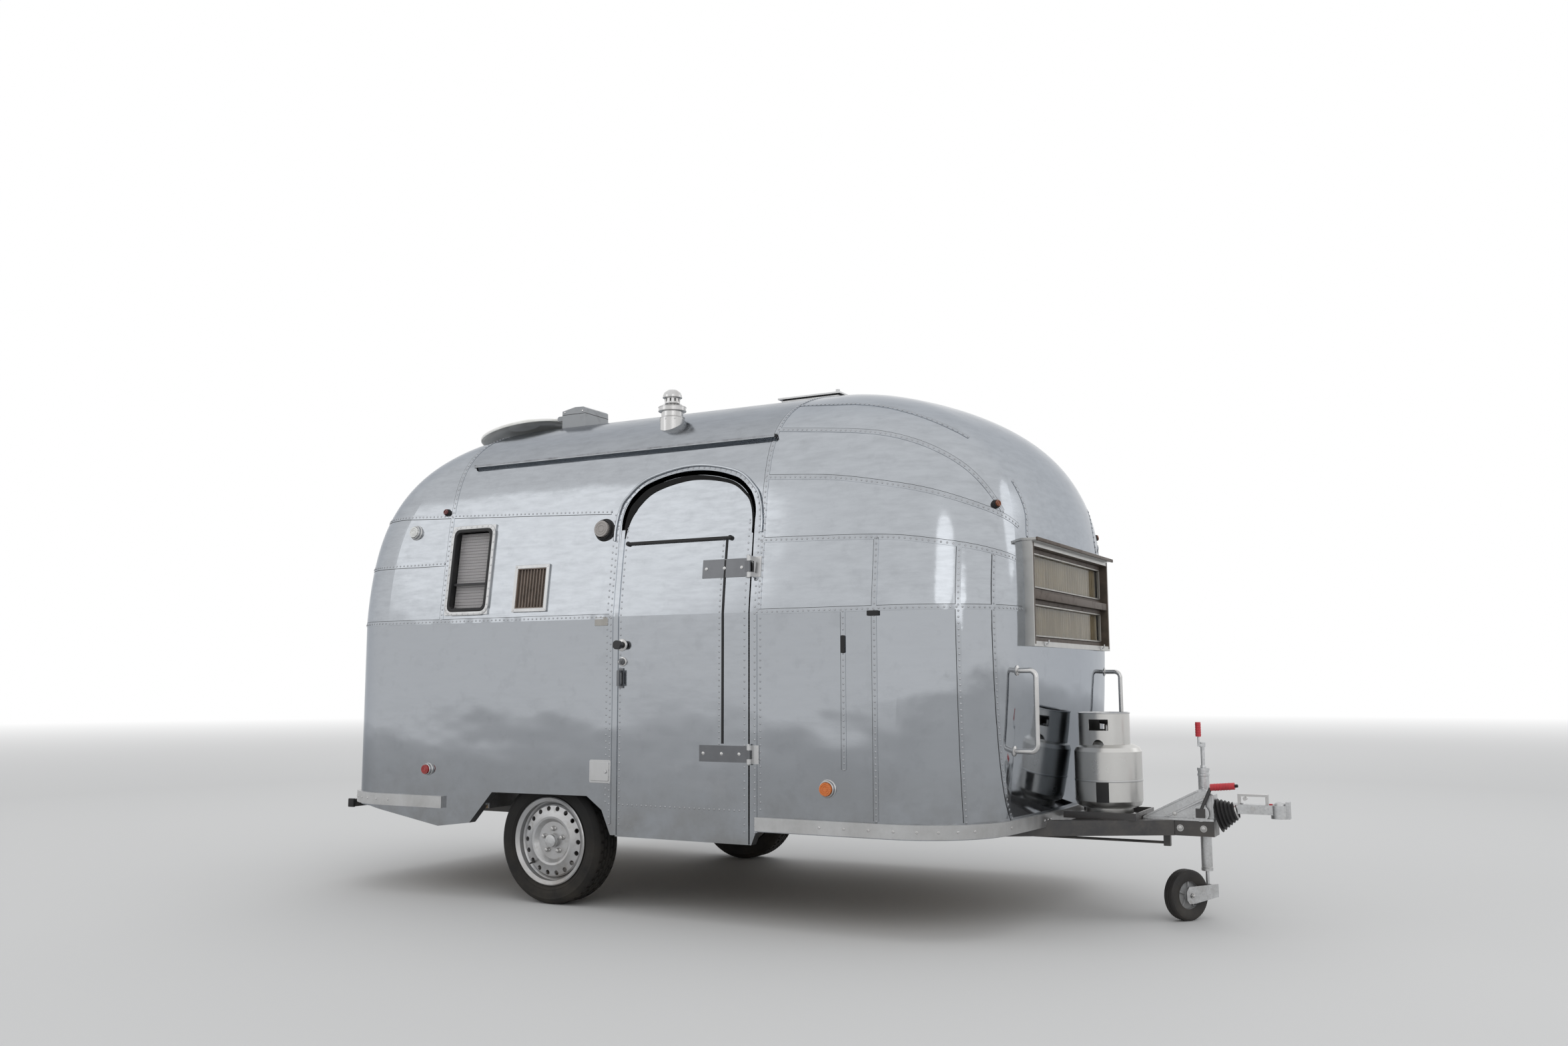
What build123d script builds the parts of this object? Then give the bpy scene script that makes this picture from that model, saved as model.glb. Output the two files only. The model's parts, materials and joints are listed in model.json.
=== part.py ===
"""Single-axle riveted-aluminium travel caravan, standing on its jockey wheel.

Millimetres. +X runs forward to the coupling, -Y is the door side, +Z is up, the ground is Z = 0.
"""
from build123d import *

import os
from math import atan2, cos, degrees, hypot, pi, radians, sin, sqrt

# Overall sizes, from which the stations along the caravan derive
OVERALL_LENGTH = 4714
NOSE_X = OVERALL_LENGTH / 2
TAIL_X = -OVERALL_LENGTH / 2
AXLE_X = NOSE_X - 3213
TYRE_R = 295
HALF_WIDTH = 1050
WALL = 45
GAP = 6

# Body shell: heights and stations
SKIRT_Z = 338
BELT_Z = 1353
GUTTER_Z = 2165
CROWN_Z = 2500
BODY_FRONT_X = AXLE_X + 2297
BODY_REAR_X = AXLE_X - 1452
DOME_FRONT_X = AXLE_X + 1184
DOME_REAR_X = AXLE_X - 227
CAP_FRONT_X = AXLE_X + 1187
CAP_REAR_X = AXLE_X - 662
LOW_CAP_FRONT_X = AXLE_X + 1742
FRONT_CORNER_R = 400
REAR_CORNER_R = 380
END_BULGE_R = 5200
LEAN_SHARE = 0.126
FLOOR_Z = 436
FLOOR_T = 30
GORE_Y = 560

# Door, in the right-hand (-Y) side
DOOR_REAR_X = AXLE_X + 428
DOOR_FRONT_X = AXLE_X + 1135
DOOR_Z0 = 346
DOOR_CROWN_Z = 2006
DOOR_SPRING_Z = 1772
HINGE_X = DOOR_FRONT_X + 12
HINGE_Y = -HALF_WIDTH - 16
DOOR_T = 36

# Openings in the walls
SIDE_WINDOW = dict(x0=AXLE_X - 628, x1=AXLE_X - 372, z0=1398, z1=1826)
FRONT_WINDOW = dict(half=620, z0=1196, z1=1652)
VENT = dict(x0=AXLE_X - 194, x1=AXLE_X - 2, z0=1399, z1=1611)
# Lower edge of the skirt, with the wheel arch, from the tail forward, from the axle
SKIRT = [(-1700, 200), (-1700, 424), (-1125, 419), (-647, 341), (-444, 366), (-305, 518), (266, 522),
         (352, 462), (402, 351), (1150, 346), (1174, 404), (2600, 404), (2600, 200)]
FRONT_STRIP = (410, 468)
REAR_STRIP = (430, 488)

# Chassis
RAIL_Z0 = 370
RAIL_Z1 = 436
RAIL_Y = 560
RAIL_W = 50
DRAWBAR_JOIN_X = AXLE_X + 1850
DRAWBAR_TIP_X = AXLE_X + 2735
HITCH_X = AXLE_X + 2600
COUPLING_X = NOSE_X - 42
COUPLING_Z = 493

# Road wheels and axle
WHEEL_Y = 905
RIM_R = 208
STUB_R = 20
TUBE_X = AXLE_X + 160

# Jockey wheel, turned on its caster
JOCKEY_X = AXLE_X + 2838
JOCKEY_Y = 100
JOCKEY_R = 110
JOCKEY_TRAIL = 132
JOCKEY_TURN = 56

# Gas bottle
BOTTLE_X = AXLE_X + 2435
BOTTLE_R = 151

# Roof items
LID_X = AXLE_X + 990
LID_HALF = 180
DISH = dict(x=AXLE_X - 740, y=-330, z=2452, r=250, tilt=12, roll=3)
DISH_PIN_X = AXLE_X - 470
FLUE = dict(x=AXLE_X + 510, y=-720)

PARTS = {}


def box(x0, x1, y0, y1, z0, z1):
    size = (x1 - x0, y1 - y0, z1 - z0)
    middle = ((x0 + x1) / 2, (y0 + y1) / 2, (z0 + z1) / 2)
    return Pos(*middle) * Box(*size)


def rod(start, end, radius):
    """Round bar between two points."""
    a = Vector(*start)
    b = Vector(*end)
    plane = Plane(origin=a, z_dir=(b - a).normalized())
    return Solid.make_cylinder(radius, (b - a).length, plane)


def disc(x, y0, y1, z, radius):
    """Cylinder along Y."""
    return rod((x, y0, z), (x, y1, z), radius)


def post(x, y, z0, z1, radius):
    """Cylinder along Z."""
    return rod((x, y, z0), (x, y, z1), radius)


def prism_y(points, y0, y1):
    """Polygon of (x, z) points, extruded along Y."""
    face = Face(Wire.make_polygon([(x, y0, z) for x, z in points], close=True))
    return Solid.extrude(face, Vector(0, y1 - y0, 0))


def prism_x(points, x0, x1):
    """Polygon of (y, z) points, extruded along X."""
    face = Face(Wire.make_polygon([(x0, y, z) for y, z in points], close=True))
    return Solid.extrude(face, Vector(x1 - x0, 0, 0))


def prism_z(points, z0, z1):
    """Polygon of (x, y) points, extruded along Z."""
    face = Face(Wire.make_polygon([(x, y, z0) for x, y in points], close=True))
    return Solid.extrude(face, Vector(0, 0, z1 - z0))


def end_points(half, end, corner, bulge, sign):
    """Corner start, corner middle and corner end of a bulged end with round corners."""
    hub = end - sign * bulge
    reach = sqrt((bulge - corner) ** 2 - (half - corner) ** 2)
    x = hub + sign * reach
    y = half - corner
    ux = sign * reach / (bulge - corner)
    uy = y / (bulge - corner)
    mx = ux
    my = uy + 1
    scale = corner / hypot(mx, my)
    return (x, half), (x + mx * scale, y + my * scale), (hub + bulge * ux, bulge * uy)


def plan_wire(z, half, front, rear, front_corner, rear_corner, bulge):
    """Closed plan outline of the body at one height, in eight edges."""
    fa, fm, fb = end_points(half, front, front_corner, bulge, 1)
    ra, rm, rb = end_points(half, rear, rear_corner, bulge, -1)

    def p(point, side=1):
        return (point[0], side * point[1], z)

    return Wire([
        Edge.make_line(p(ra), p(fa)),
        Edge.make_three_point_arc(p(fa), p(fm), p(fb)),
        Edge.make_three_point_arc(p(fb), (front, 0, z), p(fb, -1)),
        Edge.make_three_point_arc(p(fb, -1), p(fm, -1), p(fa, -1)),
        Edge.make_line(p(fa, -1), p(ra, -1)),
        Edge.make_three_point_arc(p(ra, -1), p(rm, -1), p(rb, -1)),
        Edge.make_three_point_arc(p(rb, -1), (rear, 0, z), p(rb)),
        Edge.make_three_point_arc(p(rb), p(rm), p(ra)),
    ])


def front_lean(z):
    """How far the nose is set back below the belt line."""
    t = (BELT_Z - z) / (BELT_Z - SKIRT_Z)
    return 70 * max(t, 0) ** 2


def lower_wire(z, inset):
    return plan_wire(z, HALF_WIDTH - inset, BODY_FRONT_X - inset - front_lean(z), BODY_REAR_X + inset,
                     FRONT_CORNER_R - inset, REAR_CORNER_R - inset, END_BULGE_R)


def upper_wire(u, inset):
    """Plan outline at a share u of the height from the belt to the crown."""
    z = BELT_Z + u * (CROWN_Z - inset - BELT_Z)
    half = (HALF_WIDTH - inset) * (1 - LEAN_SHARE * u) * (1 - u ** 6.63) ** (1 / 1.4)
    front = DOME_FRONT_X + (BODY_FRONT_X - inset - DOME_FRONT_X) * (1 - u ** 4.87) ** (1 / 1.3)
    rear = DOME_REAR_X + (BODY_REAR_X + inset - DOME_REAR_X) * (1 - u ** 3.22) ** (1 / 2.17)
    rounder = u ** 2.6
    front_corner = half * ((FRONT_CORNER_R - inset) / (HALF_WIDTH - inset) * (1 - rounder) + 0.58 * rounder)
    rear_corner = half * ((REAR_CORNER_R - inset) / (HALF_WIDTH - inset) * (1 - rounder) + 0.58 * rounder)
    bulge = half * (END_BULGE_R / (HALF_WIDTH - inset) * (1 - u) ** 1.5 + 1.5 * min(1, 4 * u))
    return plan_wire(z, half, front, rear, front_corner, rear_corner, bulge)


def lower_body(inset, z0):
    heights = (z0, (z0 + BELT_Z) / 2, BELT_Z)
    return Solid.make_loft([lower_wire(z, inset) for z in heights])


def upper_body(inset):
    levels = (0, 0.2, 0.38, 0.53, 0.66, 0.77, 0.86, 0.93, 0.97, 0.99, 0.999)
    return Solid.make_loft([upper_wire(u, inset) for u in levels])


def wall_out(z):
    """Distance of the outer wall from the centreline at height z."""
    u = max(z - BELT_Z, 0) / (CROWN_Z - BELT_Z)
    return HALF_WIDTH * (1 - LEAN_SHARE * u) * (1 - u ** 6.63) ** (1 / 1.4)


def slab(x0, x1, z0, z1, proud, depth):
    """Flat piece that follows the lean of the right-hand wall, from proud of it to a depth inside it."""
    a = wall_out(z0)
    b = wall_out(z1)
    return prism_x([(-a - proud, z0), (-a + depth, z0), (-b + depth, z1), (-b - proud, z1)], x0, x1)


def keep(name, *shapes):
    solids = []
    for shape in shapes:
        solids += list(shape.solids())
    PARTS[name] = solids[0] if len(solids) == 1 else Compound(children=solids)

FAR = 4000
SIDES = ((-1, "right"), (1, "left"))
outer_low = lower_body(0, SKIRT_Z)
outer_up = upper_body(0)
lower = outer_low - lower_body(WALL, SKIRT_Z - 5)
upper = outer_up - upper_body(WALL)


# Door opening and leaf
def door_outline(low, mid, top, y0, y1):
    """Arched door outline across the wall, grown by its own amount at each height."""
    xa = DOOR_REAR_X
    xb = DOOR_FRONT_X
    centre = (xa + xb) / 2
    half = (xb - xa) / 2 + top
    rise = DOOR_CROWN_Z + top - DOOR_SPRING_Z
    z0 = DOOR_Z0 - low
    z1 = DOOR_SPRING_Z
    rear = [(xa - low, y0, z0), (xa - mid, y0, z1)]
    front = [(xb + low, y0, z0), (xb + low, y0, z1)]
    haunch = [(centre + s * half * 0.6, y0, z1 + rise * 0.84) for s in (-1, 1)]
    shoulder = [(centre + s * half * 0.88, y0, z1 + rise * 0.53) for s in (-1, 1)]
    wire = Wire([
        Edge.make_line(rear[0], front[0]),
        Edge.make_line(front[0], front[1]),
        Edge.make_three_point_arc(front[1], shoulder[1], haunch[1]),
        Edge.make_three_point_arc(haunch[1], (centre, y0, z1 + rise), haunch[0]),
        Edge.make_three_point_arc(haunch[0], shoulder[0], rear[1]),
        Edge.make_line(rear[1], rear[0]),
    ])
    return Solid.extrude(Face(wire), Vector(0, y1 - y0, 0))


opening = door_outline(8, 14, 22, -1200, -700)
sill = box(DOOR_REAR_X - 8, DOOR_FRONT_X + 8, -1200, -700, 200, DOOR_Z0 + 20)
side_window = box(SIDE_WINDOW["x0"], SIDE_WINDOW["x1"], -1200, -700, SIDE_WINDOW["z0"], SIDE_WINDOW["z1"])
front_window = box(BODY_FRONT_X - 300, BODY_FRONT_X + 200, -FRONT_WINDOW["half"], FRONT_WINDOW["half"],
                   FRONT_WINDOW["z0"], FRONT_WINDOW["z1"])
vent_hole = box(VENT["x0"], VENT["x1"], -1200, -700, VENT["z0"], VENT["z1"])
lid_hole = box(LID_X - 165, LID_X + 165, -165, 165, CROWN_Z - 200, CROWN_Z + 100)
skirt_cut = prism_y([(AXLE_X + x, z) for x, z in SKIRT], -1200, 1200)
notches = []
for side, name in SIDES:
    notches.append(prism_z([(DRAWBAR_JOIN_X, side * (RAIL_Y + 27)), (DRAWBAR_JOIN_X, side * (RAIL_Y - 27)),
                            (DRAWBAR_TIP_X, side * 8), (DRAWBAR_TIP_X, side * 67)], 300, RAIL_Z1 + 2))
lower = lower - opening - sill - skirt_cut - front_window - notches[0] - notches[1]
upper = upper - opening - side_window - vent_hole - front_window - lid_hole

middle_low = lower & box(CAP_REAR_X, LOW_CAP_FRONT_X, -FAR, FAR, 0, BELT_Z)
keep("lower_front_cap", lower & box(LOW_CAP_FRONT_X, FAR, -FAR, FAR, 0, BELT_Z))
keep("lower_rear_cap", lower & box(-FAR, CAP_REAR_X, -FAR, FAR, 0, BELT_Z))
keep("lower_left_wall", middle_low & box(-FAR, FAR, 0, FAR, 0, FAR))
keep("lower_right_wall_rear", middle_low & box(-FAR, DOOR_REAR_X + 50, -FAR, 0, 0, FAR))
keep("lower_right_wall_front", middle_low & box(DOOR_FRONT_X - 50, FAR, -FAR, 0, 0, FAR))

sides = upper & box(CAP_REAR_X, CAP_FRONT_X, -FAR, FAR, BELT_Z, GUTTER_Z)
keep("upper_left_wall", sides & box(-FAR, FAR, 0, FAR, 0, FAR))
keep("upper_right_wall", sides & box(-FAR, FAR, -FAR, 0, 0, FAR))
keep("roof_panel", upper & box(CAP_REAR_X, CAP_FRONT_X, -FAR, FAR, GUTTER_Z, FAR))
front_cap = upper & box(CAP_FRONT_X, FAR, -FAR, FAR, BELT_Z, FAR)
rear_cap = upper & box(-FAR, CAP_REAR_X, -FAR, FAR, BELT_Z, FAR)
keep("front_cap_centre", front_cap & box(-FAR, FAR, -GORE_Y, GORE_Y, 0, FAR))
keep("front_cap_sides", front_cap & box(-FAR, FAR, -FAR, -GORE_Y, 0, FAR),
     front_cap & box(-FAR, FAR, GORE_Y, FAR, 0, FAR))
keep("rear_caps", rear_cap & box(-FAR, FAR, -FAR, 0, 0, FAR), rear_cap & box(-FAR, FAR, 0, FAR, 0, FAR))

leaf_y = -HALF_WIDTH + 2
LEAF_LEVELS = (BELT_Z, 1680, 2016)
outside = [(DOOR_REAR_X, 2 - wall_out(z), z) for z in LEAF_LEVELS]
inside = [(DOOR_REAR_X, 2 - wall_out(z) + DOOR_T, z) for z in LEAF_LEVELS]
leaf_profile = Wire([
    Edge.make_line((DOOR_REAR_X, leaf_y, 300), outside[0]),
    Edge.make_three_point_arc(*outside),
    Edge.make_line(outside[2], inside[2]),
    Edge.make_three_point_arc(inside[2], inside[1], inside[0]),
    Edge.make_line(inside[0], (DOOR_REAR_X, leaf_y + DOOR_T, 300)),
    Edge.make_line((DOOR_REAR_X, leaf_y + DOOR_T, 300), (DOOR_REAR_X, leaf_y, 300)),
])
leaf = Solid.extrude(Face(leaf_profile), Vector(DOOR_FRONT_X - DOOR_REAR_X, 0, 0))
keep("door_leaf", leaf & door_outline(0, 0, 0, -1200, -700))

# Hinges: strap on the leaf, plate and pin on the body
straps = []
plates = []
for z, tall in ((1555, 92), (733, 80)):
    z0 = z - tall / 2
    z1 = z + tall / 2
    strap = slab(HINGE_X - 262, HINGE_X - 10, z0 + 4, z1 - 4, 3, 1)
    strap += box(HINGE_X - 16, HINGE_X - 10, HINGE_Y - 4, 1 - wall_out(z1), z0 + 22, z1 - 22)
    strap += box(HINGE_X - 16, HINGE_X, HINGE_Y - 8, HINGE_Y + 4, z0 + 22, z1 - 22)
    strap += post(HINGE_X, HINGE_Y, z0 + 22, z1 - 22, 9)
    straps.append(strap - post(HINGE_X, HINGE_Y, z0, z1, 4.05) - leaf)
    plate = slab(HINGE_X, HINGE_X + 44, z0, z1, 5, 2)
    plate += box(HINGE_X, HINGE_X + 12, HINGE_Y - 4, 2 - wall_out(z1), z0, z1)
    plate += post(HINGE_X, HINGE_Y, z0, z1, 9)
    plate -= post(HINGE_X, HINGE_Y, z0 + 21, z1 - 21, 10.5)
    plate -= box(HINGE_X - 20, HINGE_X + 12, HINGE_Y - 20, -wall_out(z0) - 7, z0 + 21, z1 - 21)
    plate += post(HINGE_X, HINGE_Y, z0, z1, 4)
    plates.append(plate - outer_low - outer_up)
keep("door_hinge_plates", *plates)

handle_x = AXLE_X + 456
handle = disc(handle_x, leaf_y - 34, leaf_y, 1219, 12) + disc(handle_x, leaf_y - 46, leaf_y - 26, 1219, 21)
lock = disc(handle_x + 6, leaf_y - 14, leaf_y, 1142, 16)
pull = box(handle_x - 12, handle_x + 12, leaf_y - 6, leaf_y, 1020, 1112)
pull += box(handle_x - 7, handle_x + 7, leaf_y - 30, leaf_y - 20, 1030, 1102)
pull += box(handle_x - 7, handle_x + 7, leaf_y - 30, leaf_y, 1030, 1040)
pull += box(handle_x - 7, handle_x + 7, leaf_y - 30, leaf_y, 1092, 1102)
keep("door_fittings", *straps, handle, lock, pull)

# Floor, wheel boxes and chassis
BOX_X = 365
BOX_Y = 750
BOX_TOP = 662
floor = Solid.make_loft([lower_wire(z, WALL) for z in (FLOOR_Z, FLOOR_Z + FLOOR_T)])
housings = []
for side, name in SIDES:
    y0, y1 = sorted((side * BOX_Y, side * (HALF_WIDTH - WALL)))
    block = box(AXLE_X - BOX_X, AXLE_X + BOX_X, y0, y1, FLOOR_Z, BOX_TOP)
    y0, y1 = sorted((side * (BOX_Y + 8), side * (HALF_WIDTH - WALL)))
    block -= box(AXLE_X - BOX_X + 8, AXLE_X + BOX_X - 8, y0, y1, FLOOR_Z, BOX_TOP - 8)
    housings.append(block)
    y0, y1 = sorted((side * BOX_Y, side * 1100))
    floor -= box(AXLE_X - BOX_X, AXLE_X + BOX_X, y0, y1, 300, 500)
keep("floor_pan", floor)
keep("wheel_boxes", *housings)

frame = []
for side, name in SIDES:
    y = side * RAIL_Y
    frame.append(box(AXLE_X - 1320, DRAWBAR_JOIN_X, y - RAIL_W / 2, y + RAIL_W / 2, RAIL_Z0, RAIL_Z1))
for station in (-1320, -560, 640, 1250):
    inner = RAIL_Y - RAIL_W / 2
    frame.append(box(AXLE_X + station, AXLE_X + station + 50, -inner, inner, RAIL_Z0 + 8, RAIL_Z1))
keep("chassis_frame", *frame)

bars = []
for side, name in SIDES:
    inner = RAIL_Y - 25
    points = [(DRAWBAR_JOIN_X, side * (RAIL_Y + 25)), (DRAWBAR_JOIN_X, side * inner),
              (DRAWBAR_TIP_X, side * 10), (DRAWBAR_TIP_X, side * 65)]
    bars.append(prism_z(points, RAIL_Z0, RAIL_Z1))
cross = box(DRAWBAR_TIP_X - 70, DRAWBAR_TIP_X, -30, 30, RAIL_Z0, RAIL_Z1)
keep("drawbar", bars[0], bars[1] - bars[0] - cross, cross - bars[0])

axle = box(TUBE_X - 35, TUBE_X + 35, -690, 690, RAIL_Z0 - 70, RAIL_Z0)
for side, name in SIDES:
    y0, y1 = sorted((side * 690, side * 745))
    hub = disc(AXLE_X, y0, y1, TYRE_R, 42) + disc(TUBE_X, y0, y1, RAIL_Z0 - 35, 40)
    hub += prism_y([(AXLE_X, TYRE_R - 40), (AXLE_X, TYRE_R + 40), (TUBE_X, RAIL_Z0 - 1),
                    (TUBE_X, RAIL_Z0 - 72)], y0, y1)
    hub &= box(-FAR, FAR, -FAR, FAR, 0, RAIL_Z0)
    axle += hub
    y0, y1 = sorted((side * 740, side * 912))
    axle += disc(AXLE_X, y0, y1, TYRE_R, STUB_R)
keep("axle", axle)


# Road wheels
def spun(points, y, z=TYRE_R, x=AXLE_X):
    """Closed (radius, offset along Y) outline of points and arcs, spun about the wheel's axis."""
    edges = []
    count = len(points)
    place = [(x + r, y + w, z) for r, w, *_ in points]
    for i in range(count):
        a = place[i]
        b = place[(i + 1) % count]
        if len(points[i]) > 2:
            middle = (x + points[i][2], y + points[i][3], z)
            edges.append(Edge.make_three_point_arc(a, middle, b))
        else:
            edges.append(Edge.make_line(a, b))
    return Solid.revolve(Face(Wire(edges)), 360, Axis((x, y, z), (0, 1, 0)))


for side, name in SIDES:
    s = side
    y = side * WHEEL_Y
    tyre = [(193, -66 * s), (210, -66 * s), (210, -75 * s, 224, -83 * s), (240, -86 * s, 268, -84 * s),
            (286, -72 * s, 293, -66 * s), (TYRE_R, -56 * s), (TYRE_R, 56 * s, 293, 66 * s),
            (286, 72 * s, 268, 84 * s), (240, 86 * s, 224, 83 * s), (210, 75 * s), (210, 66 * s),
            (193, 66 * s)]
    keep(f"tyre_{name}", spun(tyre, y))
    rim = [(RIM_R, -80 * s), (RIM_R - 5, -84 * s), (186, -72 * s), (185, -53 * s), (172, -39 * s),
           (172, 33 * s), (185, 46 * s), (186, 72 * s), (RIM_R - 5, 84 * s), (RIM_R, 80 * s), (192, 68 * s),
           (190, 42 * s), (177, 29 * s), (177, -36 * s), (190, -50 * s), (192, -68 * s)]
    barrel = spun(rim, y)
    web = [(0, 45), (88, 45), (97, 56), (104, 64), (114, 66), (126, 61), (142, 56), (164, 52), (170, 44),
           (172.5, 14), (166, 14), (162, 42), (142, 49), (124, 54), (114, 59), (108, 57), (102, 49), (92, 38),
           (0, 38)]
    wheel = barrel + spun([(r, w * s) for r, w in web], y)
    for i in range(18):
        turn = 2 * pi * i / 18
        hole_x = AXLE_X + 152 * cos(turn)
        hole_z = TYRE_R + 152 * sin(turn)
        wheel -= disc(hole_x, y + 30 * s, y + 90 * s, hole_z, 11.5)
    wheel += disc(AXLE_X, y + 40 * s, y + 62 * s, TYRE_R, 34)
    keep(f"rim_{name}", wheel)
    drum = disc(AXLE_X, y - 98 * s, y + 22 * s, TYRE_R, 116)
    drum += disc(AXLE_X, y + 20 * s, y + 38 * s, TYRE_R, 60)
    drum -= disc(AXLE_X, y - 99 * s, y + 12 * s, TYRE_R, STUB_R + 0.05)
    keep(f"brake_drum_{name}", drum)

# Windows, vent, rails and strips
w = SIDE_WINDOW
rim_side = slab(w["x0"] - 13, w["x1"] + 13, w["z0"] - 13, w["z1"] + 13, 9, 20) - outer_low - outer_up
frame_side = slab(w["x0"], w["x1"], w["z0"], w["z1"], 9, 40) + rim_side
frame_side -= slab(w["x0"] + 16, w["x1"] - 16, w["z0"] + 16, w["z1"] - 16, 60, 60)
frame_side += slab(w["x0"] + 10, w["x1"] - 10, 1534, 1546, -4, 16)
keep("side_window_frame", frame_side)
half = FRONT_WINDOW["half"]
wx = BODY_FRONT_X + 2
frame_front = box(wx - 76, wx, -half, half, FRONT_WINDOW["z0"], FRONT_WINDOW["z1"])
frame_front -= box(wx - 100, wx + 10, -half + 24, half - 24, FRONT_WINDOW["z0"] + 24, FRONT_WINDOW["z1"] - 24)
frame_front += box(wx - 40, wx - 6, -half + 10, half - 10, 1404, 1434)
brow = box(wx - 60, wx + 26, -half - 8, half + 8, FRONT_WINDOW["z1"], FRONT_WINDOW["z1"] + 10)
keep("front_window_frame", frame_front + (brow - outer_low - outer_up))
panes = [slab(w["x0"] + 16, w["x1"] - 16, w["z0"] + 16, w["z1"] - 16, -24, 29)]
panes.append(box(wx - 50, wx - 45, -half + 24, half - 24, FRONT_WINDOW["z0"] + 24, FRONT_WINDOW["z1"] - 24))
keep("window_glass", *panes)

v = VENT
vent = slab(v["x0"], v["x1"], v["z0"], v["z1"], 8, 38)
vent -= slab(v["x0"] + 12, v["x1"] - 12, v["z0"] + 12, v["z1"] - 12, 60, 60)
for i in range(1, 9):
    bar_x = v["x0"] + 12 + i * (v["x1"] - v["x0"] - 24) / 9
    vent += slab(bar_x - 3, bar_x + 3, v["z0"] + 6, v["z1"] - 6, 4, 10)
keep("vent_grille", vent)


def band(z0, z1):
    """Strip round the skirt, proud of the skin."""
    wires = []
    for z in (z0, (z0 + z1) / 2, z1):
        wires.append(plan_wire(z, HALF_WIDTH + 20, BODY_FRONT_X - front_lean(z) + 20, BODY_REAR_X - 20,
                               FRONT_CORNER_R + 20, REAR_CORNER_R + 20, END_BULGE_R))
    return Solid.make_loft(wires) - outer_low


strips = [band(*FRONT_STRIP) & box(AXLE_X + 1178, FAR, -FAR, FAR, 0, FAR),
          band(*REAR_STRIP) & box(-FAR, AXLE_X - 612, -FAR, FAR, 0, FAR)]
keep("rub_strips", strips[0] - bars[0] - bars[1] - cross, strips[1])
gutters = []
for side, name in SIDES:
    y0, y1 = sorted((side * 860, side * 912))
    gutters.append(box(AXLE_X - 592, AXLE_X + 1192, y0, y1, GUTTER_Z - 6, GUTTER_Z + 5) - outer_up)
keep("rain_gutters", *gutters)
bumper = box(TAIL_X, TAIL_X + 40, -830, 830, 382, 422)
for side, name in SIDES:
    bumper += box(TAIL_X + 20, AXLE_X - 1320, side * RAIL_Y - 20, side * RAIL_Y + 20, 378, 416)
keep("rear_bumper", bumper)

# Lamps: bezel and lens, seated on the skin
CLEAR = "lamp_lenses_clear"
COLOURED = "lamp_lenses_coloured"
LAMPS = [
    dict(x=316, y=-1.0, z=1770, out=(0, -1, 0.13), r=48, deep=34, kind=CLEAR, pair=False),
    dict(x=-901, y=-1.0, z=1826, out=(-0.05, -1, 0.15), r=34, deep=24, kind=CLEAR, pair=False),
    dict(x=-703, y=-1.0, z=1925, out=(0, -1, 0.2), r=17, deep=20, kind=COLOURED, pair=True),
    dict(x=-720, y=-1.0, z=617, out=(0, -1, 0), r=27, deep=28, kind=COLOURED, pair=True),
    dict(x=1523, y=-1.0, z=599, out=(0, -1, 0), r=34, deep=28, kind=COLOURED, pair=True),
    dict(x=2194, y=-0.779, z=1795, out=(0.88, -0.42, 0.2), r=17, deep=20, kind=COLOURED, pair=True),
    dict(x=-1440, y=-0.62, z=720, out=(-1, 0, 0), r=52, deep=30, kind=COLOURED, pair=True),
]
bezels = []
lenses = {CLEAR: [], COLOURED: []}
for lamp in LAMPS:
    for side in ((-1, 1) if lamp["pair"] else (-1,)):
        centre = Vector(AXLE_X + lamp["x"], -side * lamp["y"] * 1000, lamp["z"])
        out = Vector(lamp["out"][0], -side * lamp["out"][1], lamp["out"][2]).normalized()
        skin = outer_up if lamp["z"] > BELT_Z else outer_low
        line = Edge.make_line(tuple(centre + out * 220), tuple(centre - out * 220))
        start = centre + out * 220
        hit = min(skin.intersect(line).vertices(), key=lambda v: (Vector(v.X, v.Y, v.Z) - start).length)
        seat = Vector(hit.X, hit.Y, hit.Z)
        middle = seat + out * (lamp["deep"] * 0.5)
        bezels.append(rod(tuple(seat - out * 30), tuple(middle), lamp["r"]) - skin)
        lenses[lamp["kind"]].append(rod(tuple(middle), tuple(seat + out * lamp["deep"]), lamp["r"] * 0.82))
keep("lamp_bezels", *bezels)
for name, group in lenses.items():
    keep(name, *group)

# Front grab handles
handles = []
for side, name in SIDES:
    y = side * 700
    hx = AXLE_X + 2326
    bow = 28
    reach = bow * (1 - cos(pi / 4))
    path = Wire([Edge.make_line((hx - 150, y, 755), (hx - bow, y, 755)),
                 Edge.make_three_point_arc((hx - bow, y, 755), (hx - reach, y, 755 + reach),
                                           (hx, y, 755 + bow)),
                 Edge.make_line((hx, y, 755 + bow), (hx, y, 1092 - bow)),
                 Edge.make_three_point_arc((hx, y, 1092 - bow), (hx - reach, y, 1092 - reach),
                                           (hx - bow, y, 1092)),
                 Edge.make_line((hx - bow, y, 1092), (hx - 150, y, 1092))])
    section = Plane(origin=(hx - 150, y, 755), z_dir=(1, 0, 0)) * Circle(11)
    handles.append(sweep(section, path) - outer_low)
keep("grab_handles", *handles)

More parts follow.
